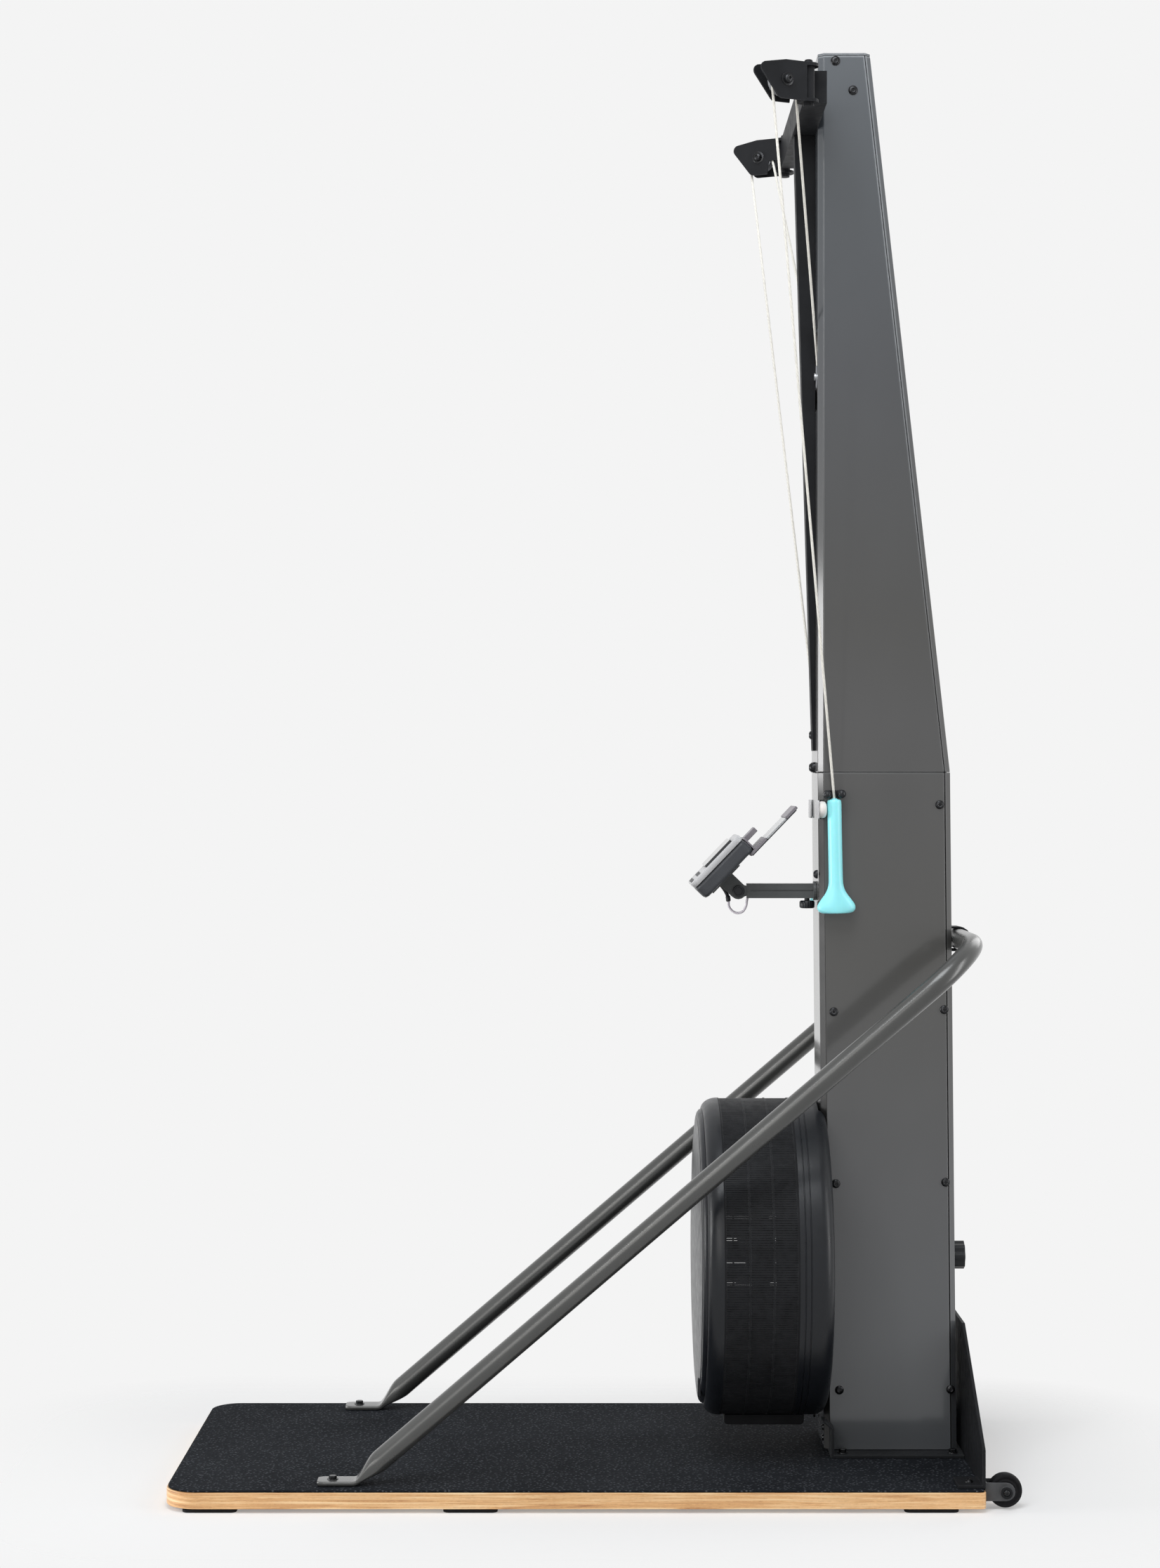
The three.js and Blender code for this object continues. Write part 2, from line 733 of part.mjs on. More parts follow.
// Spine on the front of the upper section, and the crossbar that it carries
const spineBack = upperFront - clearance;
const crossbarX = spineBack - swivelSetback;
const crossbarZ = [crossbarCentreHeight - crossbarHeight / 2, crossbarCentreHeight + crossbarHeight / 2];
const pinY = (sign) => (sign * swivelSpan) / 2;
function addSpine() {
  const shelf = crossbarZ[0] - clearance;
  const outline = [
    [spineBack, spineFootHeight],
    [spineBack, shelf],
    [spineBack - spineTopDepth, shelf],
    [spineBack - spineFootDepth, spineFootHeight],
  ];
  const hollow = [
    [spineBack + overrun, spineFootHeight + spineWall],
    [spineBack + overrun, shelf - spineWall],
    [spineBack - spineTopDepth + spineWall, shelf - spineWall],
    [spineBack - spineFootDepth + spineWall, spineFootHeight + spineWall],
  ];
  const halfHollow = spineWidth / 2 - spineWall;
  const body = plateY(outline, [-spineWidth / 2, spineWidth / 2]);
  add("tower_spine", cut(body, plateY(hollow, [-halfHollow, halfHollow])), blackPaint);

  const reach = swivelSpan / 2 - knuckleRadius / 2;
  const barX = [crossbarX - crossbarThickness / 2, crossbarX + crossbarThickness / 2];
  const bar = box(barX, [-reach, reach], crossbarZ);
  const beamX = [spineBack - crossbarDepth, spineBack];
  const beamY = swivelSpan / 2 - crossbarEndGap;
  const beam = box(beamX, [-beamY, beamY], crossbarZ);
  const channel = box(
    [barX[1], spineBack - crossbarWall],
    [-beamY + crossbarWall, beamY - crossbarWall],
    [crossbarZ[0] + crossbarWall, crossbarZ[1] + overrun],
  );
  const knuckles = sides.map(([, sign]) =>
    turnedZ(rod(crossbarZ[0], crossbarZ[1], knuckleRadius)).translate(crossbarX, pinY(sign), 0),
  );
  const bores = sides.map(([, sign]) =>
    turnedZ(
      rod(crossbarZ[0] - overrun, crossbarZ[1] + overrun, swivelPinRadius + clearance),
      boltSides,
    ).translate(crossbarX, pinY(sign), 0),
  );
  add("crossbar", cut(join(beam, bar, ...knuckles), channel, ...bores), blackPaint);
}

// Places in a pulley housing: along the arm, inwards across it, and up
const armWay = (sign) => point(-Math.cos(radians(armSplay)), sign * Math.sin(radians(armSplay)), 0);
const armAcross = (sign) => point(-Math.sin(radians(armSplay)), -sign * Math.cos(radians(armSplay)), 0);
const armPlace = (sign, along, across, z) =>
  point(crossbarX, pinY(sign), z)
    .addScaledVector(armWay(sign), along)
    .addScaledVector(armAcross(sign), across);
const housingZ = [crossbarZ[0] - clearance - armTab, crossbarZ[1] + clearance + armTab];
function armGroup(sign) {
  const group = new THREE.Group();
  group.position.set(crossbarX, pinY(sign), 0);
  group.rotation.z = pi - sign * radians(armSplay);
  object.add(group);
  return group;
}
function addArms() {
  const halfInner = armInnerWidth / 2;
  const outerHalf = halfInner + armCheek;
  const nose = [armNoseReach, crossbarCentreHeight + armNoseRise];
  const toe = [armToeReach, housingZ[0] + armToeRadius];
  const slant = Math.atan2(nose[1] - toe[1], nose[0] - toe[0]) - quarter;
  const bridgeEnd = armBridgeReach + armBridge;
  const notch = [
    [bridgeEnd, housingZ[0]],
    [bridgeEnd, housingZ[0] + cordNotchHeight],
    [bridgeEnd + cordNotchLength, housingZ[0] + cordNotchHeight],
    [bridgeEnd + cordNotchLength + armBridge, housingZ[0]],
  ];
  const cheek = (bottom) => [
    [armBridgeReach, housingZ[0]],
    ...bottom,
    ...arc(toe, armToeRadius, -quarter, slant, 4),
    ...arc(nose, armNoseRadius, slant, quarter, 6),
    [(nose[0] + bridgeEnd) / 2, housingZ[1]],
    [armBridgeReach, housingZ[1]],
  ];
  const tabRadius = outerHalf + armCheek;
  const tabHole = circle([0, 0], swivelPinRadius + clearance);
  const tab = [
    ...arc([0, 0], tabRadius, quarter, 3 * quarter, 8),
    [bridgeEnd, -outerHalf],
    [bridgeEnd, outerHalf],
  ];
  sides.forEach(([side, sign]) => {
    const group = armGroup(sign);
    const faces = (way) => [way * halfInner, way * outerHalf].sort((a, b) => a - b);
    const cheeks = [plateY(cheek([]), faces(-sign)), plateY(cheek(notch), faces(sign))];
    const bridge = box([armBridgeReach, bridgeEnd], [-outerHalf, outerHalf], housingZ);
    const tabs = [
      plateZ(tab, [housingZ[0], housingZ[0] + armTab], [tabHole]),
      plateZ(tab, [housingZ[1] - armTab, housingZ[1]], [tabHole]),
    ];
    const head = outerHalf + pulleyBoltHeadHeight;
    const bolt = turned(
      [
        [-head, 0],
        [-head, pulleyBoltHead],
        [-outerHalf, pulleyBoltHead],
        [-outerHalf, pulleyBoltRadius],
        [outerHalf, pulleyBoltRadius],
        [outerHalf, pulleyBoltHead],
        [head, pulleyBoltHead],
        [head, 0],
      ],
      boltSides,
    ).translate(armPulleyReach, 0, crossbarCentreHeight);
    add(`pulley_housing_${side}`, join(bridge, ...cheeks, ...tabs, bolt), blackPaint, group);

    const pin = turnedZ(
      [
        [housingZ[0] - clearance - swivelPinHeadHeight, 0],
        [housingZ[0] - clearance - swivelPinHeadHeight, swivelPinHead],
        [housingZ[0] - clearance, swivelPinHead],
        [housingZ[0] - clearance, swivelPinRadius],
        [housingZ[1] + clearance, swivelPinRadius],
        [housingZ[1] + clearance, swivelPinHead],
        [
          housingZ[1] + clearance + swivelPinHeadHeight * swivelPinDomeHeightShare,
          swivelPinHead * swivelPinDomeWidthShare,
        ],
        [housingZ[1] + clearance + swivelPinHeadHeight, 0],
      ],
      boltSides,
    );
    add(`swivel_pin_${side}`, pin, blackPaint, group);

    const grooveRadius = pulleyRadius - grooveDepth;
    const pulley = turned(
      [
        [-pulleyWidth / 2, pulleyBoltRadius + clearance],
        [-pulleyWidth / 2, pulleyRadius],
        [-grooveWidth / 2, pulleyRadius],
        [-grooveFloor / 2, grooveRadius],
        [grooveFloor / 2, grooveRadius],
        [grooveWidth / 2, pulleyRadius],
        [pulleyWidth / 2, pulleyRadius],
        [pulleyWidth / 2, pulleyBoltRadius + clearance],
        [-pulleyWidth / 2, pulleyBoltRadius + clearance],
      ],
      roundSides,
    );
    add(`arm_pulley_${side}`, pulley.translate(armPulleyReach, 0, crossbarCentreHeight), greyPlastic, group);
  });
}

// Guide pulleys in the window of the upper front panel, on a cross plate between the side panels
const guideX = upperFront + guideSetback;
const crossPlateX = guideX + guideWidth / 2 + 2 * clearance;
const guideY = (sign) => (sign * guideSpread) / 2;
function addGuides() {
  const plateX0 = [crossPlateX, crossPlateX + guideCrossPlate];
  const plateZ0 = [guideHeight - guideCrossPlateHeight / 2, guideHeight + guideCrossPlateHeight / 2];
  const plateY0 = [2 * clearance - innerHalfTower, innerHalfTower - 2 * clearance];
  const outline = rounded(plateY0, plateZ0, fourOf(0), 1);
  const passRadius = guideRadius / 2;
  const headX = guideX - guideWidth / 2 - clearance;
  const bolts = sides.map(([, sign]) =>
    turnedX(
      [
        [headX - guideBoltRadius, 0],
        [headX - guideBoltRadius, guideBoltRadius * 2],
        [headX, guideBoltRadius * 2],
        [headX, guideBoltRadius],
        [plateX0[1], guideBoltRadius],
        [plateX0[1], guideBoltRadius * 2],
        [plateX0[1] + guideBoltRadius, guideBoltRadius * 2],
        [plateX0[1] + guideBoltRadius, 0],
      ],
      boltSides,
    ).translate(0, guideY(sign), guideHeight),
  );
  const passZ = [plateZ0[0] + sheet, guideHeight - guideRadius / 2];
  const pass = rounded([-passRadius, passRadius], passZ, fourOf(sheet));
  add("guide_cross_plate", join(plateX(outline, plateX0, [pass]), ...bolts), steel);
  const groove = guideRadius - guideGrooveDepth;
  sides.forEach(([side, sign]) => {
    const wheel = turnedX(
      [
        [guideX - guideWidth / 2, guideBoltRadius + clearance],
        [guideX - guideWidth / 2, guideRadius],
        [guideX - guideGrooveWidth / 2, guideRadius],
        [guideX - guideGrooveFloor / 2, groove],
        [guideX + guideGrooveFloor / 2, groove],
        [guideX + guideGrooveWidth / 2, guideRadius],
        [guideX + guideWidth / 2, guideRadius],
        [guideX + guideWidth / 2, guideBoltRadius + clearance],
        [guideX - guideWidth / 2, guideBoltRadius + clearance],
      ],
      roundSides,
    );
    add(`guide_pulley_${side}`, wheel.translate(0, guideY(sign), guideHeight), greyPlastic);
  });
}

const level = (geometry) => geometry.translate(0, 0, flywheelHeight);

// Flywheel: shaft, fan, bearings, cord spools and the plate that carries the shaft's rear end
function addFlywheel() {
  const bore = shaftRadius + clearance;
  add("flywheel_shaft", level(turnedX(rod(shaftFront, shaftRear, shaftRadius))), steel);

  const hubX = [fanPlace - fanHubLength / 2, fanPlace + fanHubLength / 2];
  const disc = turnedX(
    [
      [hubX[0], bore],
      [hubX[0], fanHubRadius],
      [fanPlace - fanDisc / 2, fanHubRadius],
      [fanPlace - fanDisc / 2, fanRadius],
      [fanPlace + fanDisc / 2, fanRadius],
      [fanPlace + fanDisc / 2, fanHubRadius],
      [hubX[1], fanHubRadius],
      [hubX[1], bore],
      [hubX[0], bore],
    ],
    fanSides,
  );
  const blades = Array.from({ length: fanBlades }, (_, i) =>
    box(
      [fanPlace - fanBladeDepth, fanPlace + fanBladeDepth],
      [-fanBladeThickness / 2, fanBladeThickness / 2],
      [fanRadius - fanBladeLength, fanRadius - fanDisc],
    ).rotateX((i * 2 * pi) / fanBlades),
  );
  add("fan_wheel", level(join(disc, ...blades)), steel);

  const frontX = frontAt(flywheelHeight) + sheet / 2;
  const bearings = [
    ["front", frontX],
    ["rear", shaftPlatePlace + shaftPlate / 2],
  ];
  bearings.forEach(([name, x]) => {
    const halves = [x - bearingWidth / 2, x + bearingWidth / 2];
    add(`shaft_bearing_${name}`, level(turnedX(ring(halves[0], halves[1], bore, bearingRadius))), steel);
  });

  const halfHeight = shaftPlateHeight / 2;
  const outline = rounded(
    [-innerHalfTower, innerHalfTower],
    [flywheelHeight - halfHeight, flywheelHeight + halfHeight],
    fourOf(0),
    1,
  );
  const hole = circle([0, flywheelHeight], bearingRadius + clearance, roundSides);
  add("shaft_plate", plateX(outline, [shaftPlatePlace, shaftPlatePlace + shaftPlate], [hole]), steel);

  sides.forEach(([side], i) => {
    const half = spoolWidth / 2;
    const x = spoolPlaces[i];
    const flange = spoolRadius + spoolFlange;
    const spool = turnedX([
      [x - half - spoolFlangeWidth, bore],
      [x - half - spoolFlangeWidth, flange],
      [x - half, flange],
      [x - half, spoolRadius],
      [x + half, spoolRadius],
      [x + half, flange],
      [x + half + spoolFlangeWidth, flange],
      [x + half + spoolFlangeWidth, bore],
      [x - half - spoolFlangeWidth, bore],
    ]);
    add(`cord_spool_${side}`, level(spool), blackPlastic);
  });
}

// Flywheel housing: domed front cover, front shell, mesh band, rear shell, back plate and foot
function addDrum() {
  const coverX = drumFront + coverDepth;
  const dome = (shift, radius) =>
    coverDomeShares.map((share) => [drumFront + shift + coverDome * share * share, radius * share]);
  const coverInner = coverRadius - drumWall;
  const cover = [
    ...dome(0, coverRadius),
    [coverX, coverRadius],
    [coverX, coverInner],
    ...dome(drumWall, coverInner).reverse(),
  ];
  add("drum_front_cover", level(turnedX(cover, drumSides)), blackPlastic);

  const shellX = coverX + clearance;
  const meshEdge = meshFront - clearance;
  const inner = drumRadius - drumWall;
  const shellFace = coverRadius - coverLap;
  const outerRound = arc([shellX, 0], 1, pi, quarter, 5).map(([u, v]) => [
    shellX + (u - shellX + 1) * (meshEdge - shellX),
    coverRadius + v * (drumRadius - coverRadius),
  ]);
  const innerRound = outerRound.map(([x, radius]) => [x + drumWall / 2, radius - drumWall]).reverse();
  add(
    "drum_front_shell",
    level(
      turnedX(
        [
          [shellX, shellFace],
          ...outerRound.slice(0, -1),
          [meshEdge, drumRadius],
          [meshEdge, inner],
          ...innerRound.slice(1),
          [shellX + drumWall, shellFace],
          [shellX, shellFace],
        ],
        drumSides,
      ),
    ),
    blackPlastic,
  );

  const meshOuter = drumRadius - meshWall / 2;
  const band = turnedX(ring(meshFront, meshRear, meshOuter - meshWall, meshOuter), meshSlots);
  const pitch = (2 * pi) / meshSlots;
  const slotHalf = meshOuter * Math.sin(pitch / 2) - meshBar / 2;
  const slots = Array.from({ length: meshSlots }, (_, i) =>
    box(
      [meshFront + meshRim, meshRear - meshRim],
      [-slotHalf, slotHalf],
      [meshOuter - 2 * drumWall, meshOuter + overrun],
    ).rotateX((i + 0.5) * pitch),
  );
  add("drum_mesh_band", level(cut(band, ...slots)), blackPaint);

  const rearX = meshRear + clearance;
  const plateFront = frontAt(flywheelHeight + backPlateRadius) - clearance - backPlate;
  const wallX = plateFront + backPlate + clearance;
  const curve = arc([0, 0], rearShoulder, quarter, 0, 5).map(([u, v]) => [
    drumRear - rearShoulder + u,
    drumRadius - rearShoulder + v,
  ]);
  const innerCurve = curve.map(([x, radius]) => [x - drumWall, radius - drumWall]).reverse();
  const rearShell = turnedX(
    [
      [rearX, inner],
      [rearX, drumRadius],
      ...curve,
      [drumRear, drumRadius - rearStep],
      [wallX + drumWall, backPlateRadius],
      [wallX + drumWall, backPlateRadius * backWallInnerShare],
      [wallX, backPlateRadius * backWallInnerShare],
      [wallX, backPlateRadius],
      [drumRear - drumWall, drumRadius - rearStep - drumWall],
      ...innerCurve,
      [rearX, inner],
    ],
    drumSides,
  );
  const notchHalf = halfTower + towerNotchGap;
  const notchFront = frontAt(flywheelHeight + drumRadius) - clearance;
  const notch = box(
    [notchFront, drumRear + overrun],
    [-notchHalf, notchHalf],
    [-drumRadius - overrun, drumRadius + overrun],
  );
  add("drum_rear_shell", level(cut(rearShell, notch)), blackPlastic);

  const hole = bearingRadius + clearance;
  add(
    "drum_back_plate",
    level(turnedX(ring(plateFront, plateFront + backPlate, hole, backPlateRadius), drumSides)),
    steel,
  );

  const lugX = [meshFront + drumLugInset, meshFront + drumLugInset + drumLugLength];
  const lugZ = [flywheelHeight - drumRadius - drumLugDrop, flywheelHeight - drumRadius + drumLugDrop];
  const lugCorners = [drumLugCorner, drumLugCorner, 0, 0];
  const lug = plateY(rounded(lugX, lugZ, lugCorners, 4), [-drumLugWidth / 2, drumLugWidth / 2]);
  const drumSpace = turnedX(rod(drumFront - overrun, drumRear, drumRadius + clearance), drumSides);
  add("drum_foot", cut(lug, level(drumSpace)), blackPaint);
}

// Damper knob with its dial plate on the tower's rear panel
function addDamper() {
  const faceX = rearAt(flywheelHeight - damperPlateRadius) + clearance;
  const plateBack = faceX + damperPlate;
  const knobX = plateBack + clearance;
  const lobeSides = damperLobes * damperLobeSides;
  const lobed = Array.from({ length: lobeSides }, (_, i) => {
    const angle = (i * 2 * pi) / lobeSides;
    const wave = Math.cos(damperLobes * angle) - 1;
    const radius = damperRadius + (damperLobeDepth / 2) * wave;
    return [radius * Math.cos(angle), flywheelHeight + radius * Math.sin(angle)];
  });
  const spindle = turnedX(rod(knobX - damperSpindleLength, knobX + damperDepth / 2, damperSpindle));
  const grip = plateX(lobed, [knobX, knobX + damperDepth]);
  add("damper_knob", join(grip, spindle.translate(0, 0, flywheelHeight)), blackPlastic);
}

// Brace: one bent tube with crimped feet, held behind the tower by a saddle
const braceX = rearAt(braceCrossHeight) + 2 * clearance + braceRadius;
const braceStart = point(braceFootPlace, 0, matTop + clearance + braceFootThickness / 2);
const braceSlope = Math.atan2(braceCrossHeight - braceStart.z, braceX - braceStart.x);
function addBrace() {
  const corner = (sign) => point(braceX, (sign * braceTrack) / 2, braceCrossHeight);
  const rise = point(Math.cos(braceSlope), 0, Math.sin(braceSlope));
  const start = (sign) =>
    braceStart
      .clone()
      .setY((sign * braceTrack) / 2)
      .addScaledVector(rise, braceFootBend);
  const route = [
    start(-1),
    ...bend(start(-1), corner(-1), corner(1), braceBend, 8),
    ...bend(corner(-1), corner(1), start(1), braceBend, 8),
    start(1),
  ];
  const under = point(Math.sin(braceSlope), 0, -Math.cos(braceSlope)).multiplyScalar(braceRadius);
  const end = start(1).addScaledVector(rise, overrun);
  const footZ = [matTop + clearance, matTop + clearance + braceFootThickness];
  const crimp = [
    [braceStart.x - braceFootLength, footZ[0]],
    [braceStart.x, footZ[0]],
    [end.x + under.x, end.z + under.z],
    [end.x - under.x, end.z - under.z],
    [braceStart.x - braceFootThickness, footZ[1]],
    [braceStart.x - braceFootLength, footZ[1]],
  ];
  const feet = sides.map(([, sign]) => {
    const y = (sign * braceTrack) / 2;
    return plateY(crimp, [y - braceFootWidth / 2, y + braceFootWidth / 2]);
  });
  add("brace_tube", join(tube(route, braceRadius, braceSides), ...feet), gunMetal);

  const faceX = rearAt(braceCrossHeight - saddleEar - braceRadius) + clearance;
  const gap = braceRadius + clearance;
  const outer = gap + saddleThickness;
  const centre = [braceX, braceCrossHeight];
  const saddle = [
    [faceX, centre[1] - outer - saddleEar],
    [faceX + saddleThickness, centre[1] - outer - saddleEar],
    [faceX + saddleThickness, centre[1] - outer],
    ...arc(centre, outer, -quarter, quarter, 8),
    [faceX + saddleThickness, centre[1] + outer],
    [faceX + saddleThickness, centre[1] + outer + saddleEar],
    [faceX, centre[1] + outer + saddleEar],
    [faceX, centre[1] + gap],
    ...arc(centre, gap, quarter, -quarter, 8),
    [faceX, centre[1] - gap],
  ];
  add("brace_saddle", plateY(saddle, [-saddleWidth / 2, saddleWidth / 2]), blackPaint);
}

// Handles, hanging from their hooks at the tower's sides
const handleY = (sign) => sign * (halfTower + handleOut);
function addHandles() {
  const length = handleTop - handleBottom;
  const flareRadius = handleFlare / 2;
  const bore = handleBoreRadius;
  sides.forEach(([side, sign]) => {
    const grip = turnedZ([
      [0, bore],
      [0, gripNeckRadius - gripLip],
      [-bore, gripNeckRadius],
      ...gripSwellShares.map((share) => [-length * share, gripRadius]),
      [handleBase - length, gripRadius],
      [handleBase - length, bore],
      [0, bore],
    ]);
    const foot = -length;
    const trumpet = handleFlareShares.map(([rise, share]) => [
      foot + handleBase + rise * (handleFlareHeight - handleBase),
      gripRadius + share * (flareRadius - gripRadius),
    ]);
    const flare = turnedZ([
      [foot, bore],
      [foot, flareRadius - handleBase],
      [foot + handleBase / 4, flareRadius - handleBase / 3],
      ...trumpet,
      [foot + handleFlareHeight, bore],
      [foot, bore],
    ]).scale(1, handleFlareDepth / handleFlare, 1);
    const tunnel = turnedZ(rod(-length - overrun, overrun, bore));
    const handle = cut(join(grip, flare), tunnel);
    handle.rotateY(-Math.atan2(handleTilt, length)).translate(handlePlace, handleY(sign), handleTop);
    add(`handle_${side}`, handle, handlePlastic);

    const hookZ = [handleTop + 2 * clearance, handleTop + 2 * clearance + hookThickness];
    const near = sign * (halfTower + clearance);
    const far = sign * (halfTower + hookReach);
    const [y0, y1] = [Math.min(near, far), Math.max(near, far)];
    const body = plateZ(
      rounded([handlePlace - hookLength / 2, handlePlace + hookLength / 2], [y0, y1], fourOf(hookCorner), 3),
      hookZ,
    );
    const slotY = [handleY(sign), sign * (halfTower + hookReach + overrun)].sort((a, b) => a - b);
    const slot = box([handlePlace - hookSlot / 2, handlePlace + hookSlot / 2], slotY, [
      hookZ[0] - overrun,
      hookZ[1] + overrun,
    ]);
    const seat = turnedZ(rod(hookZ[0] - overrun, hookZ[1] + overrun, hookSlot / 2 + clearance));
    add(`handle_hook_${side}`, cut(body, slot, seat.translate(handlePlace, handleY(sign), 0)), blackPlastic);
  });
}

// Monitor arm with its clamp knob and knuckle, and the tilting monitor on it
const armRoot = frontAt(armTubeHeight) - clearance;
const pivotX = armRoot - armTubeReach - knuckleSide / 2;
function addMonitorArm() {
  const tubeX = pivotX + earWidth / 2 + 2 * clearance;
  const knuckleEnd = tubeX + armBarHeight / 4;
  const [halfW, halfH, halfG] = [armBarWidth / 2, armBarHeight / 2, armGrooveHeight / 2];
  const section = [
    [-halfW, -halfH],
    [halfW, -halfH],
    [halfW, -halfG],
    [halfW - armGroove, -halfG],
    [halfW - armGroove, halfG],
    [halfW, halfG],
    [halfW, halfH],
    [-halfW, halfH],
    [-halfW, halfG],
    [armGroove - halfW, halfG],
    [armGroove - halfW, -halfG],
    [-halfW, -halfG],
  ].map(([u, v]) => [u, v + armTubeHeight]);
  const bar = plateX(section, [tubeX, armRoot]);
  const flange = turnedX(rod(armRoot - armFlange, armRoot, armFlangeRadius)).translate(0, 0, armTubeHeight);
  const knuckle = plateY(
    [
      [knuckleEnd, armTubeHeight - armBarHeight / 4],
      [knuckleEnd, armTubeHeight + armBarHeight / 4],
      [pivotX, armTubeHeight + knuckleSide],
      ...arc([pivotX, armTubeHeight], knuckleSide, quarter, 3 * quarter, 8).slice(1),
    ],
    [-knuckleWidth / 2, knuckleWidth / 2],
    [circle([pivotX, armTubeHeight], tiltPinRadius + clearance)],
  );
  const fitted = (z, x) => (x > armRoot - overrun ? leanAt(z) - leanAt(armTubeHeight) : 0);
  const root = leaned(join(bar, flange), fitted);
  add("monitor_arm", join(root, knuckle), blackPaint);
  const knobX = armRoot - armFlange - clampKnobPlace;
  const stud = armTubeHeight - armBarHeight / 2;
  const knob = turnedZ([
    [stud - clearance, 0],
    [stud - clearance, clampKnobStud],
    [stud - clampKnobStud, clampKnobStud],
    [stud - clampKnobStud, clampKnobRadius],
    [stud - clampKnobStud - clampKnobHeight, clampKnobRadius],
    [stud - clampKnobStud - clampKnobHeight, 0],
  ]);
  add("arm_clamp_knob", knob.translate(knobX, 0, 0), blackPlastic);
}
function addMonitor() {
  const group = new THREE.Group();
  group.position.set(pivotX, 0, armTubeHeight);
  group.rotation.y = radians(monitorRecline);
  object.add(group);
  const half = monitorWidth / 2;
  const z = [monitorRise - monitorHeight / 2, monitorRise + monitorHeight / 2];
  const corners = fourOf(monitorCorner);
  const face = -monitorFaceOffset;
  const bodyX = [face + monitorBezel + clearance, face + monitorBezel + monitorThickness];
  add("monitor_body", plateX(rounded([-half, half], z, corners, 4), bodyX), blackPlastic, group);
  const openingY = [monitorRim - half, half - monitorRim];
  const openingZ = [z[0] + monitorRim, z[1] - monitorRim];
  const inner = corners.map((radius) => radius / 2);
  const bezel = plateX(
    rounded([-half, half], z, corners, 4),
    [face, face + monitorBezel],
    [rounded(openingY, openingZ, inner, 4)],
  );
  add("monitor_bezel", bezel, greyPlastic, group);
  const screenX = [face + monitorBezel - screenThickness, face + monitorBezel];
  const screenY = [openingY[0] + clearance, openingY[1] - clearance];
  const screenZ = [openingZ[0] + clearance, openingZ[1] - clearance];
  add("monitor_screen", plateX(rounded(screenY, screenZ, inner, 4), screenX), screenGlass, group);

  const mountX = [bodyX[1] + clearance, bodyX[1] + clearance + earPlate];
  const mount = box(mountX, [-mountPlateWidth / 2, mountPlateWidth / 2], [
    -mountPlateHeight / 2,
    mountPlateHeight / 2,
  ]);
  const ear = [
    [mountX[0], -earWidth / 2],
    ...arc([0, 0], earWidth / 2, -quarter, quarter, 8),
    [mountX[0], earWidth / 2],
  ];
  const earGap = knuckleWidth / 2 + clearance;
  const ears = [-1, 1].map((way) => {
    const faces = [way * earGap, way * (earGap + earPlate)].sort((a, b) => a - b);
    return plateY(ear, faces, [circle([0, 0], tiltPinRadius + clearance)]);
  });
  add("monitor_mount", join(mount, ...ears), blackPaint, group);

  const shank = earGap + earPlate + clearance;
  const pin = turned(
    [
      [-shank - tiltPinHeadHeight, 0],
      [-shank - tiltPinHeadHeight, tiltPinHead],
      [-shank, tiltPinHead],
      [-shank, tiltPinRadius],
      [shank, tiltPinRadius],
      [shank, tiltPinHead],
      [shank + tiltPinHeadHeight, tiltPinHead],
      [shank + tiltPinHeadHeight, 0],
    ],
    boltSides,
  );
  add("monitor_tilt_pin", pin, blackPaint, group);

  const holderX = [mountX[0], mountX[0] + holderThickness];
  const holderZ = [z[1] - holderSeat, z[1] - holderSeat + holderHeight];
  const back = plateX(
    rounded([-holderWidth / 2, holderWidth / 2], holderZ, [0, 0, monitorCorner, monitorCorner], 4),
    holderX,
  );
  const ledgeZ = z[1] + clearance;
  const ledge = box(
    [holderX[0] - holderLedge, holderX[0]],
    [-holderWidth / 2, holderWidth / 2],
    [ledgeZ, ledgeZ + earPlate],
  );
  const tab = box(
    [holderX[0] - holderLedge, holderX[0] - holderLedge + holderTabThickness],
    [-holderTabWidth / 2, holderTabWidth / 2],
    [ledgeZ, ledgeZ + holderTabHeight],
  );
  add("device_holder", join(back, ledge, tab), clearPlastic, group);
}

// Signal cable: from the monitor's mounting plate in a slack loop under the knuckle to the side of the arm
function addCable() {
  const cable = [
    [-27.3, 24, 9.6],
    [-23.5, 24, 5.9],
    [-18, 24, -2],
    [-14.5, 24, -10],
    [-13.4, 24, -18],
    [-12.4, 23.5, -26],
    [-7, 22, -33],
    [1, 20, -36],
    [9, 17.5, -33],
    [13.6, 14.5, -25],
    [15, 12.6, -16],
    [17, 12.2, -7],
  ].map(([x, y, z]) => point(pivotX + x, y, armTubeHeight + z));
  const smooth = new THREE.CatmullRomCurve3(cable).getSpacedPoints(cableSteps);
  add("monitor_cable", tube(smooth, cableRadius, cordSides), clearPlastic);
}

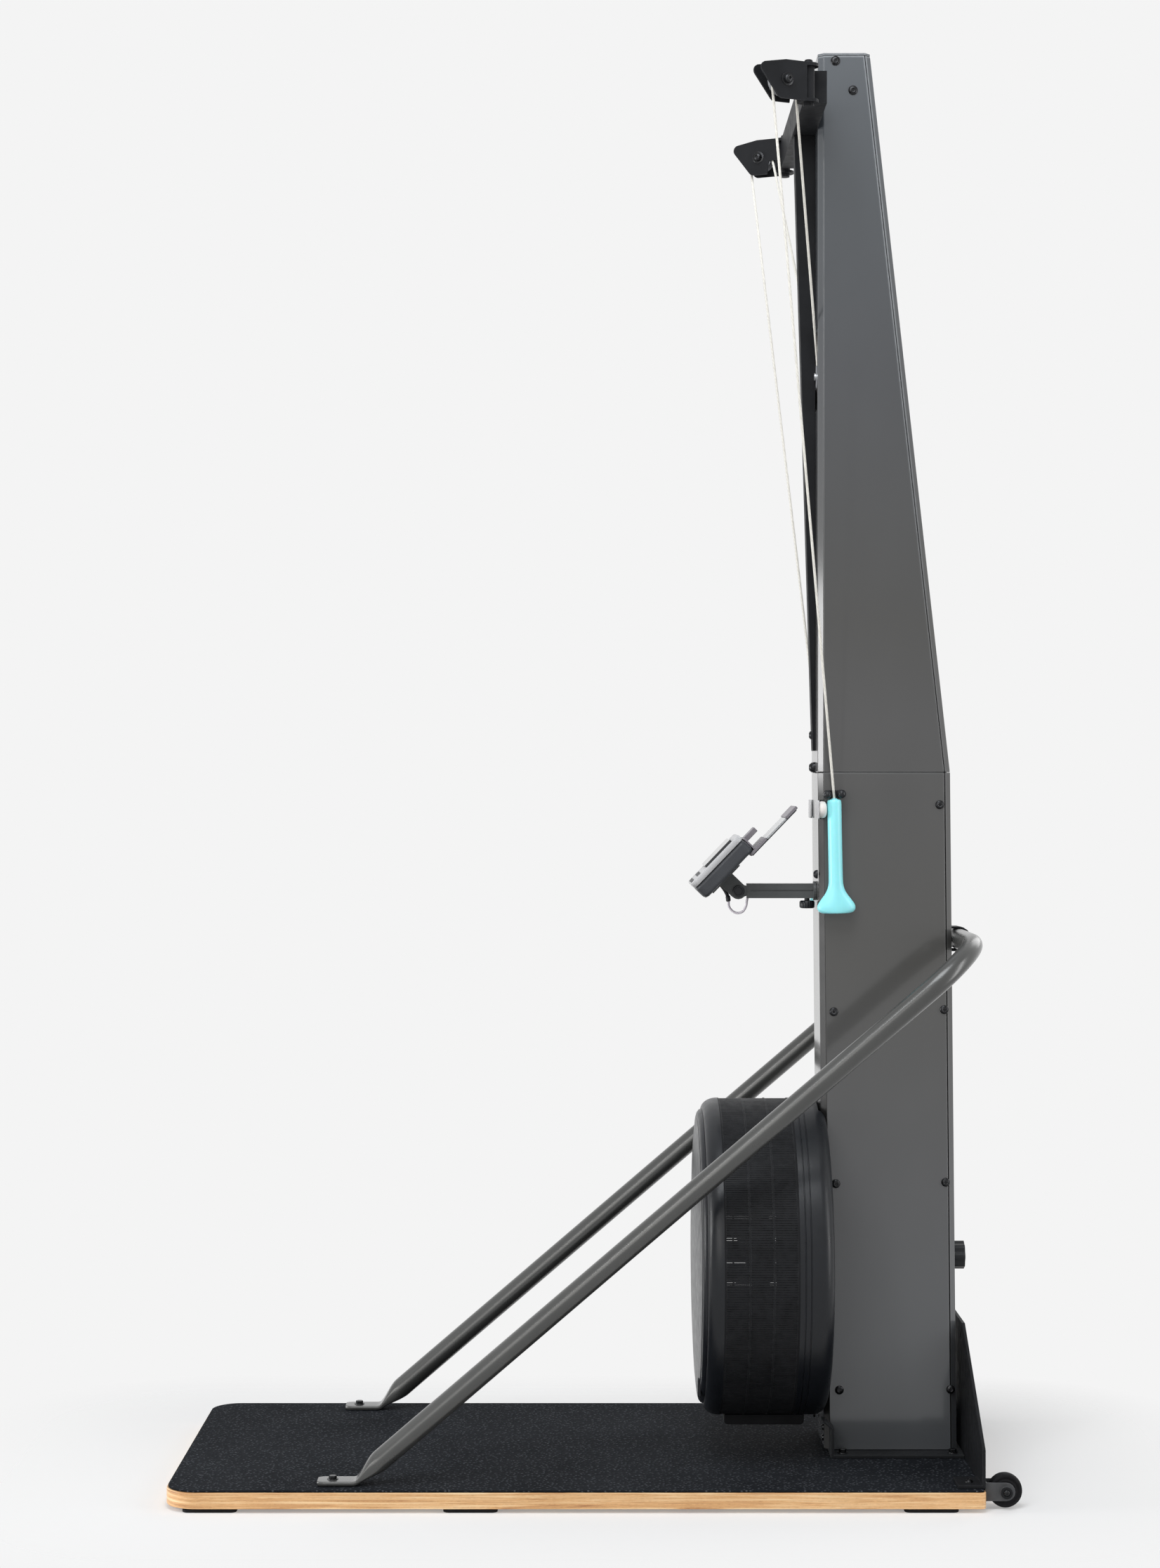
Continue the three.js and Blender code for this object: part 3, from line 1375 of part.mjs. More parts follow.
// Cords: over the arm pulleys, through the tower's window, over the guide pulleys and down to the spools
function touch([u, v], [cu, cv], radius, turn) {
  const away = Math.atan2(v - cv, u - cu);
  return away + turn * Math.acos(radius / Math.hypot(u - cu, v - cv));
}
function addCords() {
  const wrap = pulleyRadius - grooveDepth + cordRadius + 2 * clearance;
  const guideWrap = guideRadius - guideGrooveDepth + cordRadius + clearance;
  const spoolWrap = spoolRadius + cordRadius + 2 * clearance;
  const hub = [armPulleyReach, crossbarCentreHeight];
  sides.forEach(([side, sign], i) => {
    const seen = (target) => {
      const flat = target.clone().sub(armPlace(sign, 0, 0, 0));
      return [flat.dot(armWay(sign)), target.z];
    };
    const onArm = (angle) =>
      armPlace(sign, hub[0] + wrap * Math.cos(angle), 0, hub[1] + wrap * Math.sin(angle));
    const top = point(handlePlace, handleY(sign), handleTop + clearance);
    const guide = point(guideX, guideY(sign), guideHeight);
    const frontAngle = touch(seen(top), hub, wrap, 1);
    const rearAngle = touch(seen(guide), hub, wrap, -1) + 2 * pi;
    const wrapShares = Array.from({ length: cordWrapSteps + 1 }, (_, n) => n / cordWrapSteps);
    const over = wrapShares.map((share) => onArm(frontAngle + (rearAngle - frontAngle) * share));
    const last = over[over.length - 1];
    const side0 = -sign;
    const guideAngle = touch([side0 * last.y, last.z], [side0 * guide.y, guide.z], guideWrap, -1);
    const onGuide = (angle) =>
      point(guideX, guide.y + side0 * guideWrap * Math.cos(angle), guide.z + guideWrap * Math.sin(angle));
    const under = [1, 0.5, 0].map((share) => onGuide(guideAngle * share));
    const onSpool = (angle) =>
      point(
        spoolPlaces[i],
        sign * spoolWrap * Math.cos(angle),
        flywheelHeight - spoolWrap * Math.sin(angle),
      );
    const wound = wrapShares.map((share) => onSpool(pi * share));
    const inner = [...over, ...under, ...wound];
    add(`inner_cord_${side}`, tube(inner, cordRadius, cordSides), cordYarn);
    const start = over[0];
    const drop = top.clone().sub(start);
    const outer = outerCordShares.map((share) => start.clone().addScaledVector(drop, share));
    add(`outer_cord_${side}`, tube(outer, cordRadius, cordSides), cordYarn);
  });
}

addBoard();
addWheels();
addFooting();
addTower();
addJointPlate();
addSpine();
addArms();
addGuides();
addFlywheel();
addDrum();
addDamper();
addBrace();
addHandles();
addMonitorArm();
addMonitor();
addCable();
addCords();

object.updateMatrixWorld(true);

export default object;
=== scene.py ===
import math

import bmesh
import bpy
from mathutils import Matrix, Vector


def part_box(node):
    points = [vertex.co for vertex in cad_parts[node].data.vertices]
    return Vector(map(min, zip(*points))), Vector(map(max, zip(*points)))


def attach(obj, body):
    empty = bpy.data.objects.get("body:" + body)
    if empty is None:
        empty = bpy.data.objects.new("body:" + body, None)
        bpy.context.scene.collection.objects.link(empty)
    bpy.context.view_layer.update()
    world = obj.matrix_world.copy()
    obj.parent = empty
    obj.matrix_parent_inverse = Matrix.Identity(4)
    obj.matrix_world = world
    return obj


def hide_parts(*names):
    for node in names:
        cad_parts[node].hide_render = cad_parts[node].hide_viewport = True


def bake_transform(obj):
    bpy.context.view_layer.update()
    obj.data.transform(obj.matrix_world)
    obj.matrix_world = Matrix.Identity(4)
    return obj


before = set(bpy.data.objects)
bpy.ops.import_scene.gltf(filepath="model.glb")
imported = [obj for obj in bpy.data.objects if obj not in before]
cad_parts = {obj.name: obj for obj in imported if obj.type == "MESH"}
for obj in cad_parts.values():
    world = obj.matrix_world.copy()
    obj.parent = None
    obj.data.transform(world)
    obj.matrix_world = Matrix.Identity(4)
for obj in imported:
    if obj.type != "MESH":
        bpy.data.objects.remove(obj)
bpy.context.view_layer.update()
scene = bpy.context.scene
MM = 0.001
SIDES = (("left", -1), ("right", 1))

# Camera: it looks along +Y at the height of the eye, as the photograph does
CAMERA_PLACE = (-0.0205, -4.508, 1.068)
CAMERA_LENS = 66.0
CAMERA_SENSOR = 36.0
# The photograph's focal length and its middle, in pixels
PHOTO_FOCUS = 4096
PHOTO_MIDDLE = (826, 1116.5)

scene.view_settings.view_transform = "Standard"


def new_object(name, data):
    made = bpy.data.objects.new(name, data)
    scene.collection.objects.link(made)
    return made


def add_camera():
    camera = new_object("camera", bpy.data.cameras.new("camera"))
    camera.location = CAMERA_PLACE
    camera.rotation_euler = (math.pi / 2, 0, 0)
    camera.data.lens = CAMERA_LENS
    camera.data.sensor_width = CAMERA_SENSOR
    scene.camera = camera


# Meshes: the angles, in degrees, under which faces are shaded as one and over which edges are rounded
SMOOTH_ANGLE = 35.0
EDGE_ANGLE = 30.0
EDGE_STEPS = 2


def mesh_piece(name, points, faces, smooth_angle=SMOOTH_ANGLE):
    """A new mesh in the row frame. Faces that meet at less than the angle are shaded as one."""
    mesh = bpy.data.meshes.new(name)
    mesh.from_pydata([tuple(p) for p in points], [], faces)
    piece = new_object(name, mesh)
    tidy_mesh(piece, smooth_angle)
    return piece


def tidy_mesh(piece, smooth_angle=SMOOTH_ANGLE):
    """Merges doubled points, turns the faces outwards and sets smooth shading by angle."""
    work = bmesh.new()
    work.from_mesh(piece.data)
    bmesh.ops.remove_doubles(work, verts=work.verts, dist=1e-6)
    bmesh.ops.recalc_face_normals(work, faces=work.faces)
    for face in work.faces:
        face.smooth = True
    for edge in work.edges:
        if len(edge.link_faces) == 2:
            edge.smooth = edge.calc_face_angle(0.0) < math.radians(smooth_angle)
    work.to_mesh(piece.data)
    work.free()


def axes_at(origin, along, across=None):
    """A matrix whose Z runs along a direction, from an origin."""
    z = Vector(along).normalized()
    guess = Vector(across) if across else (Vector((0, 0, 1)) if abs(z.z) < 0.9 else Vector((1, 0, 0)))
    y = z.cross(guess).normalized()
    x = y.cross(z).normalized()
    return Matrix.Translation(Vector(origin)) @ Matrix((x, y, z)).transposed().to_4x4()


def turned_faces(sides, count):
    """Faces between profiles of points, the last of which meets the first."""
    faces = []
    for i in range(sides):
        a, b = i * count, (i + 1) % sides * count
        faces += [[a + j, a + j + 1, b + j + 1, b + j] for j in range(count - 1)]
    return faces


def ring_faces(rings, sides):
    """Faces between rings of points that lie one after another."""
    faces = []
    for i in range(rings - 1):
        a, b = i * sides, (i + 1) * sides
        faces += [[a + k, a + (k + 1) % sides, b + (k + 1) % sides, b + k] for k in range(sides)]
    return faces


def lathe(name, profile, where, sides):
    """A turned piece from pairs of place along the axis and radius, in metres."""
    points = []
    for i in range(sides):
        turn = 2 * math.pi * i / sides
        for along, radius in profile:
            points.append(where @ Vector((radius * math.cos(turn), radius * math.sin(turn), along)))
    return mesh_piece(name, points, turned_faces(sides, len(profile)))


def arc_points(centre, radius, start, end, steps=8):
    """Points of an arc between two angles in degrees."""
    made = []
    for i in range(steps + 1):
        angle = math.radians(start + (end - start) * i / steps)
        made.append((centre[0] + radius * math.cos(angle), centre[1] + radius * math.sin(angle)))
    return made


def rounded_rectangle(low, high, radii, steps=8):
    """Corner radii run from the low corner counter-clockwise."""
    (u0, v0), (u1, v1) = low, high
    r0, r1, r2, r3 = radii
    return [
        *arc_points((u0 + r0, v0 + r0), r0, 180, 270, steps),
        *arc_points((u1 - r1, v0 + r1), r1, 270, 360, steps),
        *arc_points((u1 - r2, v1 - r2), r2, 0, 90, steps),
        *arc_points((u0 + r3, v1 - r3), r3, 90, 180, steps),
    ]


def slab(name, outline, span, where, edge=0.0):
    """A plate from an outline in its own X and Y, between two places along its own Z."""
    work = bmesh.new()
    ring = [work.verts.new((u, v, span[0])) for u, v in outline]
    for i, corner in enumerate(ring):
        work.edges.new((corner, ring[(i + 1) % len(ring)]))
    bmesh.ops.triangle_fill(work, use_beauty=True, use_dissolve=True, edges=work.edges[:])
    top = bmesh.ops.extrude_face_region(work, geom=work.faces[:])
    raised = [v for v in top["geom"] if isinstance(v, bmesh.types.BMVert)]
    bmesh.ops.translate(work, verts=raised, vec=(0, 0, span[1] - span[0]))
    mesh = bpy.data.meshes.new(name)
    work.to_mesh(mesh)
    work.free()
    mesh.transform(where)
    piece = new_object(name, mesh)
    tidy_mesh(piece)
    if edge:
        soften(piece, edge)
    return piece


def soften(piece, width):
    """Rounds the sharp edges of a piece."""
    bevel = piece.modifiers.new("edges", "BEVEL")
    bevel.width = width
    bevel.segments = EDGE_STEPS
    bevel.limit_method = "ANGLE"
    bevel.angle_limit = math.radians(EDGE_ANGLE)
    bevel.harden_normals = True
    bevel.use_clamp_overlap = True


def sweep(name, path, radius, sides, ends=True):
    """A round tube through points; radius is one number or one for each point."""
    path = [Vector(p) for p in path]
    radii = [radius] * len(path) if isinstance(radius, (int, float)) else list(radius)
    ways = []
    for i in range(len(path)):
        before = path[max(i - 1, 0)]
        after = path[min(i + 1, len(path) - 1)]
        ways.append((after - before).normalized())
    first = Vector((0, 0, 1)) if abs(ways[0].z) < 0.9 else Vector((1, 0, 0))
    side = ways[0].cross(first).normalized()
    points = []
    for place, way, size in zip(path, ways, radii):
        side = (side - way * side.dot(way)).normalized()
        up = way.cross(side)
        for k in range(sides):
            turn = 2 * math.pi * k / sides
            points.append(place + (side * math.cos(turn) + up * math.sin(turn)) * size)
    faces = ring_faces(len(path), sides)
    if ends:
        faces.append(list(range(sides)))
        last = (len(path) - 1) * sides
        faces.append([last + k for k in range(sides)])
    return mesh_piece(name, points, faces)


def joined(name, pieces):
    """One piece from several meshes that share a material."""
    work = bmesh.new()
    for piece in pieces:
        graph = bpy.context.evaluated_depsgraph_get()
        shown = piece.evaluated_get(graph)
        part = bpy.data.meshes.new_from_object(shown)
        part.transform(piece.matrix_world)
        work.from_mesh(part)
        bpy.data.meshes.remove(part)
    mesh = bpy.data.meshes.new(name)
    work.to_mesh(mesh)
    work.free()
    made = new_object(name, mesh)
    for piece in pieces:
        bpy.data.objects.remove(piece)
    return made


def finish_piece(piece, look, body, replaces=()):
    """Gives a piece its look and its body, and hides the nodes it stands for."""
    piece.data.materials.clear()
    piece.data.materials.append(LOOKS[look])
    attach(piece, body)
    if replaces:
        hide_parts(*replaces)


def finish_group(name, pieces, look, body, replaces=()):
    """Joins meshes into one piece and finishes it."""
    finish_piece(joined(name, pieces), look, body, replaces)


# Materials


class Look:
    """Builds one node material on a Principled shader."""

    def __init__(self, name, colour, roughness, metallic=0.0, **sockets):
        self.material = bpy.data.materials.new(name)
        self.material.use_nodes = True
        self.tree = self.material.node_tree
        self.shader = self.tree.nodes["Principled BSDF"]
        self.colour = (*colour, 1.0)
        self.roughness = roughness
        self.shader.inputs["Base Color"].default_value = self.colour
        self.shader.inputs["Roughness"].default_value = roughness
        self.shader.inputs["Metallic"].default_value = metallic
        for socket, value in sockets.items():
            self.shader.inputs[socket.replace("_", " ")].default_value = value
        self.place = self.node("ShaderNodeTexCoord").outputs["Object"]
        self.last_bump = None

    def node(self, kind, values=None, **settings):
        """A node with its settings, its sockets set to plain values or linked."""
        made = self.tree.nodes.new(kind)
        for key, value in settings.items():
            setattr(made, key, value)
        for key, value in (values or {}).items():
            self.feed(made.inputs[key], value)
        return made

    def feed(self, socket, value):
        if isinstance(value, (int, float, tuple)):
            socket.default_value = value
        else:
            self.link(value, socket)

    def link(self, source, target):
        self.tree.links.new(source, target)

    def stretched(self, scale):
        return self.node("ShaderNodeMapping", {"Scale": scale, "Vector": self.place}).outputs["Vector"]

    def noise(self, scale, detail=4.0, roughness=0.5, stretch=None, distortion=0.0):
        values = {"Scale": scale, "Detail": detail, "Roughness": roughness, "Distortion": distortion}
        values["Vector"] = self.stretched(stretch) if stretch else self.place
        return self.node("ShaderNodeTexNoise", values).outputs["Fac"]

    def ramp(self, source, stops):
        made = self.node("ShaderNodeValToRGB", {"Fac": source})
        marks = made.color_ramp.elements
        while len(marks) < len(stops):
            marks.new(0.5)
        for mark, (place, value) in zip(marks, stops):
            mark.position = place
            mark.color = (*value, 1.0)
        return made.outputs["Color"]

    def span(self, source, low, high, start=0.0, end=1.0):
        """Carries a value from one range to another, without going past its ends."""
        values = {"Value": source, "From Min": start, "From Max": end, "To Min": low, "To Max": high}
        return self.node("ShaderNodeMapRange", values).outputs["Result"]

    def math(self, kind, first, second=0.0):
        return self.node("ShaderNodeMath", {0: first, 1: second}, operation=kind).outputs["Value"]

    def mix(self, share, first, second, kind="MIX"):
        made = self.node("ShaderNodeMix", {"Factor": share}, data_type="RGBA", blend_type=kind)
        colours = [s for s in made.inputs if s.type == "RGBA"]
        self.feed(colours[0], first)
        self.feed(colours[1], second)
        return next(s for s in made.outputs if s.type == "RGBA")

    def parts(self, vector):
        """The X, Y and Z of a vector."""
        return self.node("ShaderNodeSeparateXYZ", {"Vector": vector}).outputs

    def tint(self, source):
        self.link(source, self.shader.inputs["Base Color"])

    def tint_now(self):
        """What the base colour comes from so far."""
        base = self.shader.inputs["Base Color"]
        return base.links[0].from_socket if base.links else self.colour

    def shade(self, amount, scale, detail=5.0, stretch=None):
        """Lightens and darkens the colour a little in soft patches."""
        dark = tuple(c * (1 - amount) for c in self.colour[:3])
        light = tuple(min(1.0, c * (1 + amount)) for c in self.colour[:3])
        patches = self.noise(scale, detail, 0.6, stretch)
        self.tint(self.ramp(patches, [(0.3, dark), (0.7, light)]))

    def uneven(self, amount, scale):
        """Varies the roughness."""
        patches = self.noise(scale, 5.0, 0.6)
        low, high = self.roughness - amount, self.roughness + amount
        self.link(self.span(patches, low, high, 0.3, 0.7), self.shader.inputs["Roughness"])

    def bump(self, height, depth, strength):
        """Adds a height, in metres of depth, on top of the bumps before it."""
        made = self.node("ShaderNodeBump", {"Strength": strength, "Distance": depth, "Height": height})
        if self.last_bump:
            self.link(self.last_bump, made.inputs["Normal"])
        self.last_bump = made.outputs["Normal"]
        self.link(self.last_bump, self.shader.inputs["Normal"])

    def edge_wear_and_highlight(self, colour, radius, share, patchy=True, where=None):
        """Shows a lighter colour along the sharp edges: patchy wear when patchy is set, an even painted
        highlight when it is not.
        """
        soft = self.node("ShaderNodeBevel", {"Radius": radius}, samples=4 if patchy else 12)
        true = self.node("ShaderNodeNewGeometry").outputs["Normal"]
        values = {0: soft.outputs["Normal"], 1: true}
        turn = self.node("ShaderNodeVectorMath", values, operation="DOT_PRODUCT").outputs["Value"]
        edge = self.span(turn, 1.0, 0.0, 0.9, 0.995)
        rough = self.noise(90.0, 6.0, 0.7)
        amount = self.span(rough, 0.0 if patchy else share * 0.7, share, 0.35, 0.6)
        mask = self.math("MULTIPLY", edge, amount)
        if where:
            mask = self.math("MULTIPLY", mask, where)
        self.tint(self.mix(mask, self.tint_now(), (*colour, 1.0)))


# Painted light and shade on the tower paint, by height over 2.2 m: pale and bluish near the floor, darker
# and warmer above, darkest from about 1.3 to 1.7 m, paler and bluer again at the top
PAINTED_LIGHT_AND_SHADE_BY_HEIGHT = [
    (0.0, (0.84, 0.9, 0.94)), (0.2, (0.9, 0.91, 0.92)), (0.36, (0.7, 0.68, 0.62)),
    (0.53, (0.65, 0.64, 0.62)), (0.6, (0.51, 0.5, 0.46)), (0.78, (0.5, 0.53, 0.57)),
    (0.9, (0.56, 0.63, 0.69)), (1.0, (0.68, 0.77, 0.85)),
]


def painted_metal():
    """Dark grey paint with metal grain, painted light and shade by height, a painted highlight on its high
    folds and painted shade on its low front ones.
    """
    coat = 0.9
    look = Look(
        "gun_metal_paint", (0.088, 0.0885, 0.0915), 0.42,
        Specular_IOR_Level=0.3, Coat_Weight=coat, Coat_Roughness=0.1,
    )
    look.shade(0.09, 3.2, 4.0, (1, 1, 0.35))
    z = look.parts(look.place)["Z"]
    # Painted light and shade by height, multiplied into the colour
    painted_light_by_height = look.ramp(look.span(z, 0.0, 1.0, 0.0, 2.2), PAINTED_LIGHT_AND_SHADE_BY_HEIGHT)
    look.tint(look.mix(1.0, look.tint_now(), painted_light_by_height, "MULTIPLY"))
    flakes = look.noise(2600.0, 2.0, 0.5)
    look.tint(look.mix(look.span(flakes, 0.0, 0.22, 0.5, 0.8), look.tint_now(), (0.2, 0.21, 0.215, 1)))
    look.uneven(0.05, 7.0)
    look.bump(look.noise(420.0, 3.0), 0.0002, 0.18)
    # Painted highlight along the folds: faint below 1.2 m, full from 1.9 m up
    painted_highlight_height = look.span(z, 0.12, 1.0, 1.2, 1.9)
    look.edge_wear_and_highlight((0.36, 0.38, 0.4), 0.005, 0.8, patchy=False, where=painted_highlight_height)
    # Painted shade: folds that face forward and sideways below about 1.1 m are painted near black and lose
    # their coat
    facing = look.parts(look.node("ShaderNodeNewGeometry").outputs["Normal"])
    forward = look.span(facing["X"], 1.0, 0.0, -0.5, -0.08)
    sideways = look.span(look.math("ABSOLUTE", facing["Y"]), 0.0, 1.0, 0.1, 0.4)
    low_down = look.span(z, 1.0, 0.0, 1.05, 1.1)
    painted_shade_fold = look.math("MULTIPLY", look.math("MULTIPLY", forward, sideways), low_down)
    look.link(look.span(painted_shade_fold, coat, 0.0), look.shader.inputs["Coat Weight"])
    look.tint(look.mix(painted_shade_fold, look.tint_now(), (0.014, 0.014, 0.0135, 1)))
    return look.material


def plain_look(name, colour, roughness, shade, uneven, grain, bump, metallic=0.0, edge_wear_and_highlight=None, **sockets):
    """Soft patches, uneven gloss and a fine grain, and lighter edges where they are asked for: wear on some
    looks, a painted highlight on others.
    """
    look = Look(name, colour, roughness, metallic, **sockets)
    look.shade(*shade)
    look.uneven(*uneven)
    look.bump(look.noise(*grain), *bump)
    if edge_wear_and_highlight:
        look.edge_wear_and_highlight(*edge_wear_and_highlight)
    return look.material


def powder_coat(name, colour, edge, patchy=True):
    """Powder coat with its fine pebbled skin and lighter edges: patchy wear when patchy is set, an even
    painted highlight when it is not.
    """
    return plain_look(
        name, colour, 0.5, shade=(0.25, 18.0), uneven=(0.08, 60.0), grain=(950.0, 3.0, 0.6),
        bump=(0.0003, 0.3), edge_wear_and_highlight=(edge, 0.0012, 0.6, patchy), Specular_IOR_Level=0.1,
    )


def dark_plastic(name, colour, roughness):
    """Moulded plastic with a fine spark-eroded grain."""
    return plain_look(
        name, colour, roughness, shade=(0.2, 12.0), uneven=(0.06, 50.0), grain=(1400.0, 2.0),
        bump=(0.00025, 0.35), edge_wear_and_highlight=(tuple(c * 2.6 for c in colour), 0.001, 0.35), Specular_IOR_Level=0.3,
    )


def light_plastic(name, colour, roughness):
    return plain_look(
        name, colour, roughness, shade=(0.06, 20.0), uneven=(0.05, 70.0), grain=(1300.0, 2.0),
        bump=(0.00004, 0.12),
    )


def mat_look():
    """Rubber floor mat: blue-black with a close pebbled tread, lighter in specks on the crests of its
    pebbles.
    """
    look = Look("tread_mat", (0.008, 0.0095, 0.0125), 0.75, 0.0, Specular_IOR_Level=0.03)
    cells = look.node("ShaderNodeTexVoronoi", {"Scale": 170.0, "Vector": look.place}, feature="F1")
    pebble = look.span(cells.outputs["Distance"], 1.0, 0.0, 0.05, 0.62)
    fine = look.noise(1500.0, 3.0, 0.6)
    stops = [(0.3, (0.009, 0.0102, 0.0125)), (0.75, (0.0175, 0.0195, 0.023))]
    dark = look.ramp(look.noise(7.0, 5.0, 0.6), stops)
    crest = look.span(pebble, 0.0, 1.0, 0.45, 1.0)
    crest = look.math("MULTIPLY", crest, look.span(fine, 0.1, 0.85, 0.35, 0.7))
    look.tint(look.mix(crest, dark, (0.2, 0.215, 0.24, 1)))
    look.uneven(0.08, 200.0)
    look.bump(pebble, 0.0012, 0.7)
    look.bump(fine, 0.0003, 0.5)
    return look.material


BOARD_PLIES = 11


def plywood_look():
    """Birch plywood: thin layers across the edge, long grain streaks on them, clear varnish."""
    look = Look("birch_plywood", (0.62, 0.41, 0.2), 0.42, 0.0, Coat_Weight=0.2)
    low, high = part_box("base_board")
    wander = look.span(look.noise(9.0, 3.0, stretch=(1, 1, 0.2)), -0.12, 0.12)
    level = look.span(look.parts(look.place)["Z"], 0.0, float(BOARD_PLIES), low.z, high.z)
    level = look.math("ADD", level, wander)
    ply = look.math("FRACT", level)
    odd = look.math("MODULO", look.math("FLOOR", level), 2.0)
    seam = look.math("GREATER_THAN", look.math("ABSOLUTE", look.math("SUBTRACT", ply, 0.5)), 0.42)
    long_grain = look.noise(34.0, 8.0, 0.68, (0.16, 0.16, 7.0), 0.9)
    end_grain = look.noise(300.0, 5.0, 0.7, (0.5, 0.5, 1.4))
    stops = [(0.32, (0.4, 0.17, 0.06)), (0.45, (0.8, 0.46, 0.2)), (0.62, (0.98, 0.72, 0.42))]
    pale = look.ramp(long_grain, stops)
    deep = look.ramp(end_grain, [(0.35, (0.55, 0.26, 0.1)), (0.6, (0.9, 0.55, 0.26))])
    layers = look.mix(look.math("MULTIPLY", odd, 0.45), pale, deep)
    glue = look.math("MULTIPLY", seam, look.span(long_grain, 0.55, 0.0, 0.3, 0.62))
    layers = look.mix(glue, layers, (0.3, 0.12, 0.04, 1))
    patches = look.noise(5.0, 4.0, stretch=(1, 1, 0.3))
    patches = look.ramp(patches, [(0.3, (0.86, 0.84, 0.8)), (0.7, (1, 1, 1))])
    look.tint(look.mix(1.0, layers, patches, "MULTIPLY"))
    look.uneven(0.08, 30.0)
    look.bump(look.math("MULTIPLY", look.math("SUBTRACT", 1.0, seam), long_grain), 0.0004, 0.4)
    return look.material


def cord_look():
    """Off-white braid, slightly fuzzy: fine diagonal strands from two crossed waves, with painted shade in
    the grooves between them.
    """
    look = Look("braided_cord", (0.82, 0.8, 0.74), 0.78, 0.0, Sheen_Weight=0.3)
    look.shade(0.06, 60.0)
    ways = []
    for lean in (1.0, -1.0):
        values = {"Scale": 190.0, "Distortion": 0.4, "Vector": look.stretched((1, lean, 0.45))}
        ways.append(look.node("ShaderNodeTexWave", values, bands_direction="DIAGONAL").outputs["Fac"])
    braid = look.math("MAXIMUM", ways[0], ways[1])
    # Painted shade: darker where the braid is low, between the strands
    look.tint(look.mix(look.span(braid, 0.35, 0.0, 0.3, 0.9), look.tint_now(), (0.5, 0.47, 0.41, 1)))
    look.bump(braid, 0.0004, 0.6)
    return look.material


# Stage: a pale floor that fades into the backdrop, and soft light
BACKDROP = (0.905, 0.905, 0.905)
FLOOR_GLOW = 0.3
FLOOR_REACH = 9.0
FLOOR_CORE = (0.62, 0.27, 1.0)
FLOOR_FADE = (0.03, 0.42)
WORLD_STRENGTH = 0.3


def add_world():
    """Pale backdrop for the camera, gloss and glass; softer light for everything else."""
    world = bpy.data.worlds.new("studio")
    scene.world = world
    world.use_nodes = True
    tree = world.node_tree
    light = tree.nodes["Background"]
    light.inputs["Color"].default_value = (1.0, 1.0, 1.0, 1.0)
    light.inputs["Strength"].default_value = WORLD_STRENGTH
    pale = tree.nodes.new("ShaderNodeBackground")
    pale.inputs["Color"].default_value = (*BACKDROP, 1.0)
    pale.inputs["Strength"].default_value = 1.0
    path = tree.nodes.new("ShaderNodeLightPath")
    seen = path.outputs["Is Camera Ray"]
    for kind in ("Is Glossy Ray", "Is Transmission Ray"):
        either = tree.nodes.new("ShaderNodeMath")
        either.operation = "MAXIMUM"
        tree.links.new(seen, either.inputs[0])
        tree.links.new(path.outputs[kind], either.inputs[1])
        seen = either.outputs["Value"]
    choice = tree.nodes.new("ShaderNodeMixShader")
    tree.links.new(seen, choice.inputs["Fac"])
    tree.links.new(light.outputs["Background"], choice.inputs[1])
    tree.links.new(pale.outputs["Background"], choice.inputs[2])
    tree.links.new(choice.outputs["Shader"], tree.nodes["World Output"].inputs["Surface"])


def add_floor():
    """A round floor whose rim turns clear, so that it has no horizon line."""
    sides = 96
    rings = (0.0, 1.5, 3.5, FLOOR_REACH)
    points = [Vector((0, 0, 0))]
    faces = []
    for radius in rings[1:]:
        for i in range(sides):
            turn = 2 * math.pi * i / sides
            points.append(Vector((radius * math.cos(turn), radius * math.sin(turn), 0)))
    for i in range(sides):
        faces.append([0, 1 + i, 1 + (i + 1) % sides])
    faces += [[1 + corner for corner in face] for face in ring_faces(len(rings) - 1, sides)]
    floor = mesh_piece("floor", points, faces)
    look = Look("studio_floor", BACKDROP, 0.9, 0.0, Specular_IOR_Level=0.0)
    off = look.place
    for kind, size in (("ABSOLUTE", (0, 0, 0)), ("SUBTRACT", FLOOR_CORE), ("MAXIMUM", (0, 0, 0))):
        off = look.node("ShaderNodeVectorMath", {0: off, 1: size}, operation=kind).outputs["Vector"]
    reach = look.node("ShaderNodeVectorMath", {0: off}, operation="LENGTH")
    path = look.node("ShaderNodeLightPath")
    seen = look.math("MAXIMUM", path.outputs["Is Camera Ray"], path.outputs["Is Glossy Ray"])
    seen = look.math("MAXIMUM", seen, path.outputs["Is Transmission Ray"])
    look.tint(look.mix(seen, (*BACKDROP, 1.0), (*[c * (1 - FLOOR_GLOW) for c in BACKDROP], 1.0)))
    look.shader.inputs["Emission Color"].default_value = (*BACKDROP, 1.0)
    look.link(look.math("MULTIPLY", seen, FLOOR_GLOW), look.shader.inputs["Emission Strength"])
    fade = look.span(reach.outputs["Value"], 1.0, 0.0, *FLOOR_FADE)
    look.link(fade, look.shader.inputs["Alpha"])
    floor.data.materials.append(look.material)


def add_lamp(name, place, target, size, power, colour=(1, 1, 1)):
    lamp = new_object(name, bpy.data.lights.new(name, "AREA"))
    lamp.data.shape = "RECTANGLE"
    lamp.data.size, lamp.data.size_y = size
    lamp.data.energy = power
    lamp.data.color = colour
    lamp.location = place
    lamp.rotation_euler = (Vector(target) - Vector(place)).to_track_quat("-Z", "Y").to_euler()


